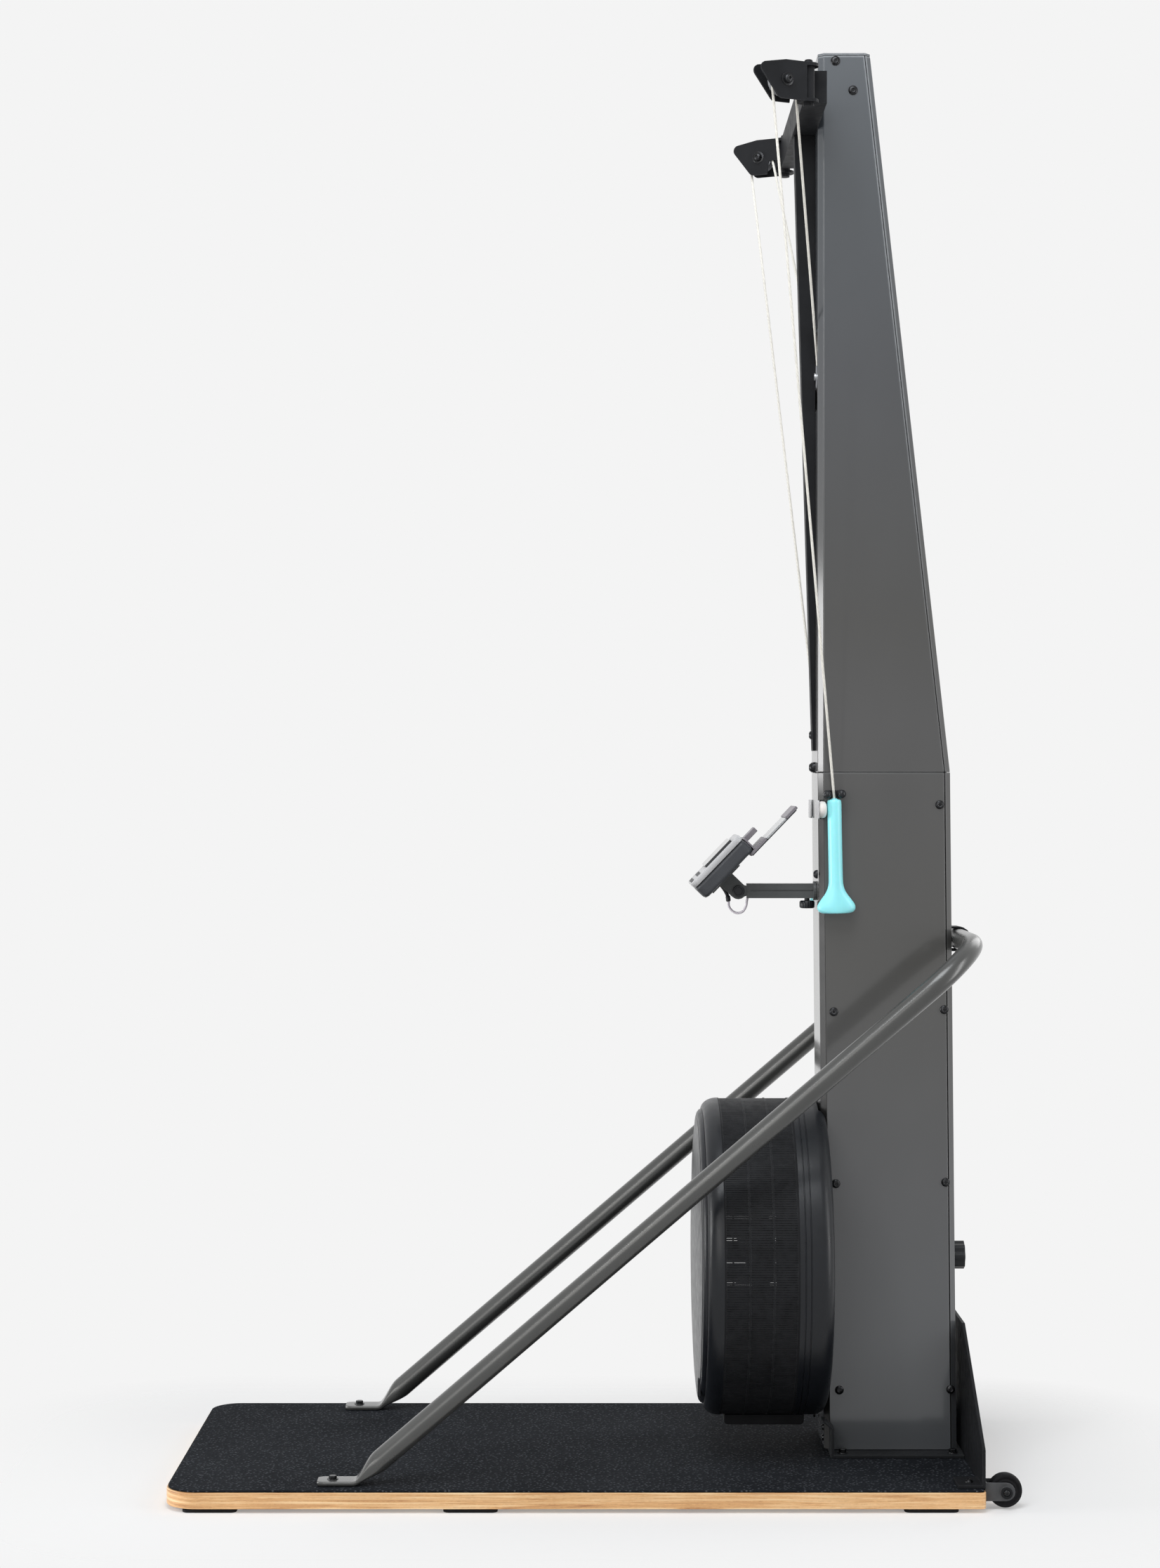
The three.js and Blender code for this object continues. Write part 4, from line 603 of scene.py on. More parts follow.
def add_lights():
    add_lamp("overhead", (-0.1, -1.7, 3.7), (0.35, 0, 1.5), (1.8, 1.8), 64, (0.93, 0.965, 1.0))
    add_lamp("front_soft", (-1.8, -4.6, 2.2), (0.2, 0, 1.0), (2.4, 2.4), 40, (1.0, 0.975, 0.94))
    add_lamp("left_strip", (-3.4, -0.5, 0.8), (0.3, 0, 0.7), (1.0, 1.7), 66)
    add_lamp("right_strip", (3.5, -1.4, 1.5), (0.4, 0, 1.2), (0.7, 3.2), 44)
    add_lamp("tube_strip", (-1.7, -3.0, 3.1), (0.1, -0.2, 0.7), (0.22, 2.4), 17)
    add_lamp("rear_rim", (2.6, 2.6, 2.8), (0.3, 0, 1.1), (1.8, 2.4), 26)


# The imported nodes listed here keep their shapes and get materials; some get rounded edges
LOOKS = {
    "paint": painted_metal(),
    "tube": plain_look(
        "gun_metal_tube", (0.06, 0.061, 0.059), 0.28, shade=(0.1, 9.0), uneven=(0.03, 12.0),
        grain=(160.0, 3.0), bump=(0.00003, 0.1), metallic=0.3,
        Specular_IOR_Level=0.4, Coat_Weight=0.6, Coat_Roughness=0.26,
    ),
    "coat": powder_coat("black_powder_coat", (0.012, 0.0125, 0.014), (0.07, 0.072, 0.078)),
    # The tray's edges get an even pale painted highlight
    "tray": powder_coat("tray_coat", (0.017, 0.018, 0.0195), (0.36, 0.38, 0.4), False),
    "fork": powder_coat("grey_coat", (0.09, 0.092, 0.096), (0.16, 0.165, 0.17)),
    "zinc": plain_look(
        "zinc_steel", (0.5, 0.51, 0.52), 0.32, shade=(0.12, 30.0), uneven=(0.1, 80.0),
        grain=(300.0, 4.0, 0.5, (1, 1, 8)), bump=(0.0001, 0.3), metallic=0.95,
    ),
    "plastic": dark_plastic("black_plastic", (0.0085, 0.0098, 0.0125), 0.33),
    "rubber": plain_look(
        "rubber", (0.009, 0.009, 0.01), 0.75, shade=(0.3, 40.0), uneven=(0.08, 120.0),
        grain=(700.0, 4.0, 0.6), bump=(0.0006, 0.4), Specular_IOR_Level=0.15,
    ),
    "mat": mat_look(),
    "wood": plywood_look(),
    # Smooth moulded grip, a pale cyan that lets a little light in
    "handle": plain_look(
        "cyan_grip", (0.33, 0.9, 0.97), 0.34, shade=(0.035, 14.0), uneven=(0.05, 90.0),
        grain=(1100.0, 3.0), bump=(0.0002, 0.15), Subsurface_Weight=0.12, Subsurface_Scale=0.004,
    ),
    "cord": cord_look(),
    "grey": light_plastic("grey_plastic", (0.33, 0.34, 0.36), 0.38),
    "screen": plain_look(
        "screen_glass", (0.006, 0.008, 0.011), 0.1, shade=(0.3, 30.0), uneven=(0.04, 60.0),
        grain=(40.0, 2.0), bump=(0.0002, 0.05), Coat_Weight=0.5,
    ),
    # Clear acrylic, frosted by fine scratches
    "clear": plain_look(
        "clear_plastic", (0.86, 0.88, 0.9), 0.14, shade=(0.03, 25.0), uneven=(0.05, 80.0),
        grain=(600.0, 4.0, 0.6, (1, 6, 1)), bump=(0.00003, 0.15), Transmission_Weight=0.55, IOR=1.46,
    ),
    # Black-oxide steel, oily and a little worn on the raised rims
    "fastener": plain_look(
        "black_oxide", (0.02, 0.0205, 0.022), 0.3, shade=(0.3, 90.0), uneven=(0.08, 200.0),
        grain=(1500.0, 3.0), bump=(0.0001, 0.3), metallic=0.8, edge_wear_and_highlight=((0.22, 0.22, 0.23), 0.0005, 0.7),
    ),
    "fan": dark_plastic("fan_metal", (0.03, 0.031, 0.033), 0.4),
    "pale": plain_look(
        "pale_rubber", (0.8, 0.77, 0.74), 0.5, shade=(0.05, 60.0), uneven=(0.06, 150.0),
        grain=(800.0, 3.0), bump=(0.0002, 0.2), Subsurface_Weight=0.08, Subsurface_Scale=0.003,
    ),
    "case": dark_plastic("monitor_case", (0.045, 0.048, 0.054), 0.42),
    "silver": light_plastic("silver_rim", (0.5, 0.5, 0.51), 0.34),
    "mauve": light_plastic("mauve_plastic", (0.2, 0.185, 0.205), 0.4),
    "arm": dark_plastic("arm_paint", (0.082, 0.086, 0.087), 0.34),
    "cable": light_plastic("pale_cable", (0.84, 0.79, 0.87), 0.4),
}


def both(*names):
    """A left and a right node for each name."""
    return [f"{name}_{side}" for name in names for side, sign in SIDES]


NODE_LOOKS = {
    "wood": ["base_board"],
    "mat": ["deck_mat"],
    "rubber": both("foot_rail", "transport_wheel"),
    "tray": ["base_tray"],
    "fork": both("wheel_bracket"),
    "coat": [
        "rear_gusset_plate", "tower_spine", "crossbar", "drum_mesh_band", "drum_foot", "brace_saddle",
        "tower_joint_plate", "monitor_tilt_pin", *both("pulley_housing", "swivel_pin"),
    ],
    "arm": ["monitor_arm", "monitor_mount"],
    "paint": [
        "tower_lower_channel", "tower_lower_rear_cover", "tower_upper_channel", "tower_upper_rear_cover",
        "tower_top_cap",
    ],
    "tube": ["brace_tube"],
    "zinc": ["guide_cross_plate", "shaft_bearing_front", "shaft_bearing_rear", "shaft_plate"],
    "fan": ["fan_wheel", "flywheel_shaft", "drum_back_plate"],
    "grey": ["monitor_bezel", *both("arm_pulley", "guide_pulley")],
    "plastic": [
        "drum_front_cover", "drum_front_shell", "drum_rear_shell", "damper_knob", "arm_clamp_knob",
        "monitor_body", *both("cord_spool", "handle_hook"),
    ],
    "handle": both("handle"),
    "screen": ["monitor_screen"],
    "clear": ["device_holder", "monitor_cable"],
    "cord": both("inner_cord", "outer_cord"),
}
EDGE_GROUPS = {
    0.0032: ["tower_upper_channel"],
    0.0012: [
        "tower_lower_channel", "tower_lower_rear_cover", "tower_upper_rear_cover", "tower_spine", "crossbar",
    ],
    0.001: ["base_tray", "rear_gusset_plate", "drum_foot"],
    0.0008: ["tower_top_cap", "monitor_arm"],
    0.0006: ["monitor_mount", "brace_saddle", *both("wheel_bracket")],
}
EDGE_WIDTHS = {name: width for width, names in EDGE_GROUPS.items() for name in names}
WELD_GAP = 1e-5
FLAT_ANGLE = 1.0


def dress_nodes():
    for look, names in NODE_LOOKS.items():
        for name in names:
            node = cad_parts[name]
            node.data.materials.clear()
            node.data.materials.append(LOOKS[look])
            if name in EDGE_WIDTHS:
                weld = node.modifiers.new("weld", "WELD")
                weld.merge_threshold = WELD_GAP
                plain = node.modifiers.new("plain", "DECIMATE")
                plain.decimate_type = "DISSOLVE"
                plain.angle_limit = math.radians(FLAT_ANGLE)
                soften(node, EDGE_WIDTHS[name])


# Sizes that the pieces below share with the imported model, in metres
HALF_TOWER = 0.065
TRAY_TOP = 0.0386
MAT_TOP = 0.0333
FLYWHEEL_HEIGHT = 0.33
DRUM_RADIUS = 0.245
MESH_SPAN = (0.1945, 0.3065)
DRUM_REAR = 0.3595
HEAD_SIDES = 28


def seen_at(px, py, y):
    """The place at a depth of Y that a pixel of the photograph shows."""
    scale = PHOTO_FOCUS / (y - CAMERA_PLACE[1])
    x = (px - PHOTO_MIDDLE[0]) / scale + CAMERA_PLACE[0]
    return Vector((x, y, CAMERA_PLACE[2] - (py - PHOTO_MIDDLE[1]) / scale))


def button_head(name, place, way, radius, height):
    """A domed screw head with its round key socket."""
    profile = [
        (-0.0004, radius),
        (height * 0.25, radius),
        (height * 0.62, radius * 0.88),
        (height * 0.88, radius * 0.66),
        (height, radius * 0.46),
        (height * 0.94, radius * 0.4),
        (height * 0.4, radius * 0.36),
        (height * 0.36, 0.0),
    ]
    return lathe(name, profile, axes_at(place, way), HEAD_SIDES)


def hex_head(name, place, way, radius, height):
    """A bolt head with six flats on its washer."""
    where = axes_at(place, way)
    profile = [(-0.0003, 0), (-0.0003, radius * 1.35), (height * 0.2, radius * 1.3), (height * 0.22, 0)]
    washer = lathe(name + "_washer", profile, where, HEAD_SIDES)
    outline = arc_points((0, 0), radius, 0, 300, 5)
    return [washer, slab(name + "_head", outline, (height * 0.2, height), where, edge=radius * 0.12)]


def cut_away(piece, cutter):
    """Takes a closed cutter out of a piece, for good."""
    work = piece.modifiers.new("cut", "BOOLEAN")
    work.operation = "DIFFERENCE"
    work.solver = "EXACT"
    work.object = cutter
    graph = bpy.context.evaluated_depsgraph_get()
    made = bpy.data.meshes.new_from_object(piece.evaluated_get(graph))
    piece.modifiers.clear()
    piece.data = made
    bpy.data.objects.remove(cutter)
    tidy_mesh(piece)
    return piece


def box_piece(name, low, high):
    (x0, y0, z0), (x1, y1, z1) = low, high
    return slab(name, [(x0, y0), (x1, y0), (x1, y1), (x0, y1)], (z0, z1), Matrix.Identity(4))


# Screws of the tower's side panels, by their pixels on the near side
TOWER_SCREWS = (
    (1190, 86), (1215, 128), (1338.5, 1146), (1187.5, 1441), (1345, 1438), (1190.5, 1686), (1347, 1684),
    (1195.5, 1980), (1354, 1979),
)
TRAY_BOLTS = ((1200, 2069), (1357, 2067))
SPINE_BOLTS = ((1160, 1047), (1161, 1093))
TRAY_BOLT_Y = 0.082
EAR_FACE = 0.35433
SPINE_FACE = 0.3482


def add_fasteners():
    for side, sign in SIDES:
        heads = []
        for i, (px, py) in enumerate(TOWER_SCREWS):
            place = seen_at(px, py, -HALF_TOWER)
            place.y = sign * HALF_TOWER
            size = 0.0073 if i < 2 else 0.0068
            heads.append(button_head(f"screw_{i}", place, (0, sign, 0), size, 0.0032))
        finish_group("tower_screws_" + side, heads, "fastener", "frame")
        bolts = []
        for i, (px, py) in enumerate(TRAY_BOLTS):
            place = (seen_at(px, py, -TRAY_BOLT_Y).x, sign * TRAY_BOLT_Y, TRAY_TOP)
            bolts += hex_head(f"tray_bolt_{i}", place, (0, 0, 1), 0.0062, 0.0062)
        foot = (0.553, sign * 0.268, TRAY_TOP)
        bolts.append(button_head("gusset_screw", foot, (0, 0, 1), 0.0062, 0.0038))
        for up in (0.0, 0.016):
            place = (EAR_FACE, sign * TRAY_BOLT_Y, 0.062 + up)
            bolts.append(button_head("ear_screw", place, (-1, 0, 0), 0.005, 0.003))
        finish_group("tray_bolts_" + side, bolts, "fastener", "frame")
    spine = []
    for i, (px, py) in enumerate(SPINE_BOLTS):
        place = (SPINE_FACE, 0, seen_at(px, py, 0.0).z)
        spine.append(button_head(f"spine_bolt_{i}", place, (-1, 0, 0), 0.0085, 0.0095))
    finish_group("front_bolts", spine, "fastener", "frame")


# The drum's cage of fine bars, the share of its round that they fill, and the catch on its cover
MESH_BARS = 420
BAR_SHARE = 0.82
BAR_RADII = (0.2422, 0.244)
DRUM_SIDES = 160
CATCH_PLACE = (0.1642, -0.115, 0.1455)


def add_drum():
    """Flywheel housing: domed cover, round shoulder, fine bars round the middle and a rear shell."""
    axis = axes_at((0, 0, FLYWHEEL_HEIGHT), (1, 0, 0))
    cover = [
        (0.1562, 0.0), (0.1563, 0.06), (0.1572, 0.11), (0.1586, 0.16), (0.1606, 0.2), (0.1618, 0.2125),
        (0.1628, 0.2135), (0.1634, 0.2165), (0.1626, 0.219), (0.1636, 0.2225), (0.1662, 0.2262),
        (0.1695, 0.2278), (0.1695, 0.225), (0.166, 0.21), (0.162, 0.12), (0.161, 0.0),
    ]
    piece = lathe("drum_cover", [(a + 0.0003, r) for a, r in cover], axis, DRUM_SIDES)
    finish_piece(piece, "plastic", "frame", ["drum_front_cover"])

    front = 0.1702
    shoulder = [(front, 0.2195), (front, 0.2282)]
    for u, v in arc_points((0, 0), 1.0, 180, 90, 12):
        shoulder.append((front + (u + 1) * (MESH_SPAN[0] - front), 0.2282 + v * (DRUM_RADIUS - 0.2282)))
    shoulder += [(MESH_SPAN[0], DRUM_RADIUS - 0.003), (0.186, 0.2415), (0.176, 0.234), (0.174, 0.2195)]
    shell = lathe("front_shell", [*shoulder, shoulder[0]], axis, DRUM_SIDES)
    rings = []
    for i, x in enumerate((0.1955, 0.2325, 0.2685, 0.3052)):
        half = 0.0014 if i in (1, 2) else 0.0019
        profile = [
            (x - half, 0.2415), (x - half, 0.2444), (x - half * 0.6, 0.2449), (x + half * 0.6, 0.2449),
            (x + half, 0.2444), (x + half, 0.2415), (x - half, 0.2415),
        ]
        rings.append(lathe(f"ring_{i}", profile, axis, DRUM_SIDES))
    finish_piece(shell, "plastic", "frame", ["drum_front_shell"])

    points = []
    faces = []
    for i in range(MESH_BARS):
        turn = 2 * math.pi * i / MESH_BARS
        half = BAR_SHARE * math.pi / MESH_BARS
        for x in (MESH_SPAN[0] + 0.0005, MESH_SPAN[1] - 0.0005):
            for way, radius in zip((-1, -1, 1, 1), (*BAR_RADII, *BAR_RADII[::-1])):
                angle = turn + way * half
                points.append((x, radius * math.sin(angle), FLYWHEEL_HEIGHT + radius * math.cos(angle)))
        base = 8 * i
        faces += [[base, base + 1, base + 2, base + 3], [base + 7, base + 6, base + 5, base + 4]]
        for k in range(4):
            n = (k + 1) % 4
            faces.append([base + k, base + 4 + k, base + 4 + n, base + n])
    bars = mesh_piece("mesh_bars", points, faces)
    finish_group("drum_cage", [bars, *rings], "coat", "frame", ["drum_mesh_band"])

    rear = [(0.3068, 0.242), (0.3068, 0.2448)]
    for x in (0.314, 0.3225):
        rear += [(x, 0.2449), (x + 0.0006, 0.2438), (x + 0.0016, 0.2438), (x + 0.0022, 0.2449)]
    rear += [(DRUM_REAR - 0.02 + u, DRUM_RADIUS - 0.02 + v) for u, v in arc_points((0, 0), 0.02, 90, 0, 10)]
    wall = 0.3525
    rear += [
        (DRUM_REAR, 0.2155), (wall + 0.0035, 0.1975), (wall + 0.0035, 0.142), (wall + 0.0005, 0.142),
        (wall + 0.0005, 0.1975), (0.3565, 0.214), (0.3565, 0.225), (0.351, 0.2355), (0.3395, 0.242),
    ]
    piece = lathe("drum_rear", [*rear, rear[0]], axis, DRUM_SIDES)
    cutter = box_piece("notch", (0.3475, -0.0665, 0.04), (0.37, 0.0665, 0.62))
    cut_away(piece, cutter)
    finish_piece(piece, "plastic", "frame", ["drum_rear_shell"])

    latch = slab(
        "latch",
        rounded_rectangle((-0.0145, -0.006), (0.0145, 0.006), (0.002,) * 4, 4),
        (0.0, 0.0052),
        axes_at(CATCH_PLACE, (-1, 0, 0), (0, 0, 1)),
        edge=0.0012,
    )
    finish_piece(latch, "plastic", "frame")

    soften(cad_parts["drum_foot"], 0.0015)


# Brace: the slope of its legs, its bends and its flattened feet
BRACE_RADIUS = 0.0159
BRACE_TRACK = 0.258
BRACE_CROSS = (0.5715, 0.826)
BRACE_FOOT = (-0.352, 0.0371)
BRACE_FOOT_LENGTH = 0.056
# The length of leg that is crushed flat, and half the foot's thickness and width
CRUSH = 0.05
TOE_HALVES = (0.00345, 0.0199)
TOE_BOLT = (-0.034, 0.0034)
BRACE_BEND = 0.1
BRACE_SIDES = 40
BEND_STEPS = 16
FOOT_STEPS = 22


def add_brace():
    cross_x = BRACE_CROSS[0]
    slope = math.atan2(BRACE_CROSS[1] - BRACE_FOOT[1], cross_x - BRACE_FOOT[0])
    rise = Vector((math.cos(slope), 0, math.sin(slope)))
    bend = BRACE_BEND
    path = []
    for sign in (-1, 1):
        start = Vector((BRACE_FOOT[0], sign * BRACE_TRACK, BRACE_FOOT[1]))
        corner = Vector((cross_x, sign * BRACE_TRACK, BRACE_CROSS[1]))
        leg = [start + rise * (CRUSH + 0.02 * i) for i in range(2)]
        centre = corner - rise * bend + Vector((0, -sign * bend, 0))
        turn = []
        for i in range(BEND_STEPS + 1):
            angle = math.radians(90 * i / BEND_STEPS)
            across = Vector((0, sign * bend * math.cos(angle), 0))
            turn.append(centre + across + rise * bend * math.sin(angle))
        side = [*leg, *turn]
        path += side if sign < 0 else side[::-1]
    sides = BRACE_SIDES
    parts = [sweep("tube", path, BRACE_RADIUS, sides, ends=False)]
    for sign in (-1, 1):
        start = Vector((BRACE_FOOT[0], sign * BRACE_TRACK, BRACE_FOOT[1]))
        points = []
        for i in range(FOOT_STEPS + 1):
            share = i / FOOT_STEPS
            reach = CRUSH - share * (CRUSH + BRACE_FOOT_LENGTH)
            centre = start + (rise * reach if reach > 0 else Vector((reach, 0, 0)))
            melt = min(max((CRUSH - reach) / CRUSH, 0.0), 1.0)
            melt = melt * melt * (3 - 2 * melt)
            thick = BRACE_RADIUS * (1 - melt) + TOE_HALVES[0] * melt
            broad = BRACE_RADIUS * (1 - melt) + TOE_HALVES[1] * melt
            power = 1.0 + 2.2 * melt
            lean = slope * min(max((reach + 0.012) / 0.03, 0.0), 1.0)
            up = Vector((-math.sin(lean), 0, math.cos(lean)))
            tip = max(0.0, (share - 0.9) / 0.1)
            broad *= math.sqrt(max(0.0, 1 - 0.45 * tip * tip))
            for k in range(sides):
                turn = 2 * math.pi * k / sides
                c, s = math.cos(turn), math.sin(turn)
                flat = math.copysign(abs(s) ** (1 / power), s)
                wide = math.copysign(abs(c) ** (1 / power), c)
                points.append(centre + Vector((0, 1, 0)) * wide * broad + up * flat * thick)
        faces = ring_faces(FOOT_STEPS + 1, sides)
        last = FOOT_STEPS * sides
        faces.append([last + k for k in range(sides)])
        parts.append(mesh_piece("foot", points, faces))
    brace = joined("brace", parts)
    tidy_mesh(brace)
    finish_piece(brace, "tube", "frame", ["brace_tube"])
    bolts = []
    for sign in (-1, 1):
        place = (BRACE_FOOT[0] + TOE_BOLT[0], sign * BRACE_TRACK, BRACE_FOOT[1] + TOE_BOLT[1])
        bolts += hex_head("toe_bolt", place, (0, 0, 1), 0.0062, 0.0055)
    finish_group("brace_bolts", bolts, "fastener", "frame")


# Wheels: a soft-shouldered tyre, and the collar and end of its axle on the fork
WHEEL_PLACE = (0.6065, 0.265, 0.0265)
WHEEL_RADIUS = 0.0255
AXLE_FACE = 0.2859
COLLAR = (
    (0, 0.0046), (0, 0.009), (0.0013, 0.009), (0.002, 0.0082), (0.002, 0.0056), (0.0006, 0.0048),
    (0, 0.0046),
)
AXLE_END = (
    (0, 0.0044), (0.0018, 0.0044), (0.0028, 0.0036), (0.0032, 0.0024), (0.0022, 0.002), (0.0022, 0.0),
)


def add_wheels():
    x, y, z = WHEEL_PLACE
    r = WHEEL_RADIUS
    for side, sign in SIDES:
        half = [(0.0098, 0.0044), (0.0098, 0.0155), (0.0088, 0.0168), (0.0088, 0.0186), (0.0098, 0.02)]
        half += [(0.0068 + u, r - 0.004 + v) for u, v in arc_points((0, 0), 0.0031, 0, 80, 6)]
        half += [(0.003, r - 0.0004), (0.0, r - 0.0002)]
        other = [(-a, b) for a, b in reversed(half[:-1])]
        axis = axes_at((x, sign * y, z), (0, 1, 0))
        tyre = lathe("tyre_" + side, [*half, *other, half[0]], axis, 72)
        finish_piece(tyre, "rubber", "wheel_" + side, ["transport_wheel_" + side])
        where = axes_at((x, sign * AXLE_FACE, z), (0, sign, 0))
        finish_piece(lathe("collar", COLLAR, where, 40), "coat", "frame")
        finish_piece(lathe("axle_end", AXLE_END, where, 32), "fastener", "frame")


# Handles: half-widths by height above the foot, and hooks with two soft lobes
HANDLE_TOP = (0.371, 0.0805, 1.046)
HANDLE_LENGTH = 0.177
HANDLE_TILT = 0.0035
GRIP_HALF = 0.0109
GRIP_SIDES = 64
GRIP_SMOOTH = 60.0
# How much of the foot's flare its depth has
FLARE_SHARE = 0.14
HANDLE_OUTLINE = (
    (0.0, 0.0), (0.0, 0.0205), (0.0007, 0.0232), (0.0018, 0.0258), (0.0036, 0.0279), (0.0062, 0.0292),
    (0.009, 0.0296), (0.0122, 0.029), (0.016, 0.0271), (0.0215, 0.0232), (0.0287, 0.0177), (0.033, 0.0151),
    (0.0377, 0.0131), (0.042, 0.0119), (0.0466, 0.0112), (0.056, 0.0109), (0.075, 0.01085), (0.1, 0.0108),
    (0.125, 0.01085), (0.15, 0.0109), (0.169, 0.0109), (0.1722, 0.0107), (0.174, 0.0099), (0.1748, 0.0086),
    (0.175, 0.0062), (0.1758, 0.005), (0.1768, 0.0036), (0.177, 0.0024),
)


# The hooks: their height over the grip's top, and the way, radius and steps of their lobes
HOOK_RISE = 0.0062
LOBES = ((-1, 0.0062), (1, 0.0068))
LOBE_LENGTH = 0.0262
LOBE_STEPS = 14
HOOK_PLATE = 0.004


def add_handles():
    tilt = math.atan2(HANDLE_TILT, HANDLE_LENGTH)
    down = Vector((math.sin(tilt), 0, -math.cos(tilt)))
    for side, sign in SIDES:
        top = Vector((HANDLE_TOP[0], sign * HANDLE_TOP[1], HANDLE_TOP[2]))
        where = axes_at(top + down * HANDLE_LENGTH, -down, (1, 0, 0))
        sides = GRIP_SIDES
        points = []
        for i in range(sides):
            turn = 2 * math.pi * i / sides
            for rise, half in HANDLE_OUTLINE:
                depth = half if half < GRIP_HALF else GRIP_HALF + (half - GRIP_HALF) * FLARE_SHARE
                points.append(where @ Vector((half * math.cos(turn), depth * math.sin(turn), rise)))
        count = len(HANDLE_OUTLINE)
        faces = turned_faces(sides, count)
        faces.append([i * count + count - 1 for i in range(sides)])
        grip = mesh_piece("grip_" + side, points, faces, GRIP_SMOOTH)
        finish_piece(grip, "handle", "handle_" + side, ["handle_" + side])

        lobes = []
        z = HANDLE_TOP[2] + HOOK_RISE
        for way, size in LOBES:
            x = HANDLE_TOP[0] + way * (0.0036 + size)
            path = []
            radii = []
            for i in range(LOBE_STEPS + 1):
                share = i / LOBE_STEPS
                swell = math.sin(math.pi * share)
                y = sign * (HALF_TOWER + 0.0006 + share * LOBE_LENGTH)
                path.append((x + way * 0.0012 * swell, y, z + way * 0.0008 * share))
                radii.append(size * (0.86 + 0.14 * swell))
            radii[0] = size * 0.95
            radii[-3:] = [size * 0.9, size * 0.68, size * 0.2]
            lobes.append(sweep("lobe", path, radii, 28))
        plate = slab(
            "hook_plate",
            rounded_rectangle((-0.0135, -0.0062), (0.0145, 0.0062), (0.003,) * 4, 5),
            (0.0, HOOK_PLATE),
            axes_at((HANDLE_TOP[0], sign * (HALF_TOWER + 0.0003), z), (0, sign, 0), (1, 0, 0)),
            edge=0.001,
        )
        hook = joined("hook_" + side, [*lobes, plate])
        finish_piece(hook, "plastic", "frame", ["handle_hook_" + side])


# Board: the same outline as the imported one, with finer corners
BOARD_X = (-0.632, 0.575)
BOARD_HALF = 0.3
BOARD_Z = (0.006, 0.03)
BOARD_CORNERS = (0.048, 0.008, 0.008, 0.048)
CORNER_STEPS = 28
MAT_FOOT = 0.0302
MAT_INSET = 0.0022
# The foot pads: their middles along the board, their track, half-lengths, corner and height
PAD_PLACES = (-0.5642, -0.1813, 0.4955)
PAD_TRACK = 0.2765
PAD_HALVES = (0.04, 0.02)
PAD_CORNER = 0.009
PAD_TOP = 0.0058


def add_board():
    flat = Matrix.Identity(4)
    low, high = (BOARD_X[0], -BOARD_HALF), (BOARD_X[1], BOARD_HALF)
    outline = rounded_rectangle(low, high, BOARD_CORNERS, CORNER_STEPS)
    board = slab("board", outline, BOARD_Z, flat, edge=0.0012)
    finish_piece(board, "wood", "frame", ["base_board"])
    low = tuple(place + MAT_INSET for place in low)
    high = tuple(place - MAT_INSET for place in high)
    corners = tuple(radius - MAT_INSET for radius in BOARD_CORNERS)
    outline = rounded_rectangle(low, high, corners, CORNER_STEPS)
    mat = slab("mat", outline, (MAT_FOOT, MAT_TOP), flat, edge=0.0009)
    finish_piece(mat, "mat", "frame", ["deck_mat"])
    for side, sign in SIDES:
        pads = []
        y = sign * PAD_TRACK
        long, wide = PAD_HALVES
        for x in PAD_PLACES:
            outline = rounded_rectangle((x - long, y - wide), (x + long, y + wide), (PAD_CORNER,) * 4, 8)
            pads.append(slab("pad", outline, (0.0, PAD_TOP), flat, edge=0.0009))
        y = sign * 0.27
        strip = box_piece("strip", (-0.56, y - 0.006, 0.0042), (0.49, y + 0.006, PAD_TOP))
        finish_group("pads_" + side, [*pads, strip], "rubber", "frame", ["foot_rail_" + side])


# Monitor: its pivot and recline; places inside it are along its depth, width and height
PIVOT = Vector((0.22697, 0, 0.9007))
RECLINE = math.radians(43.9)
MONITOR_FACE = -0.064
MONITOR_Z = (-0.0445, 0.0625)
MONITOR_HALF = 0.063
MONITOR_CORNER = 0.012
PIVOT_FACE = 0.0136
PIVOT_RING = (
    (0, 0.0), (0, 0.009), (0.0055, 0.009), (0.0066, 0.0082), (0.0066, 0.0064), (0.005, 0.0058),
    (0.005, 0.0),
)
HOLDER_HALF = 0.052
KNOB_RIBS = 18
KNOB_DENT = 0.03


def monitor_axes(x, y, z, along=(1, 0, 0), across=(0, 0, 1)):
    turn = Matrix.Translation(PIVOT) @ Matrix.Rotation(RECLINE, 4, "Y")
    place = turn @ Vector((x, y, z))
    way = turn.to_3x3() @ Vector(along)
    side = turn.to_3x3() @ Vector(across)
    return axes_at(place, way, side)


def monitor_slab(name, x_span, y_half, z_span, corner, edge=0.001, y_middle=0.0):
    """A rounded plate of the monitor: its outline lies across the width and the height."""
    middle = (z_span[0] + z_span[1]) / 2
    high = (z_span[1] - z_span[0]) / 2
    where = monitor_axes(x_span[0], y_middle, middle)
    outline = rounded_rectangle((-high, -y_half), (high, y_half), (corner,) * 4, 8)
    return slab(name, outline, (0.0, x_span[1] - x_span[0]), where, edge=edge)


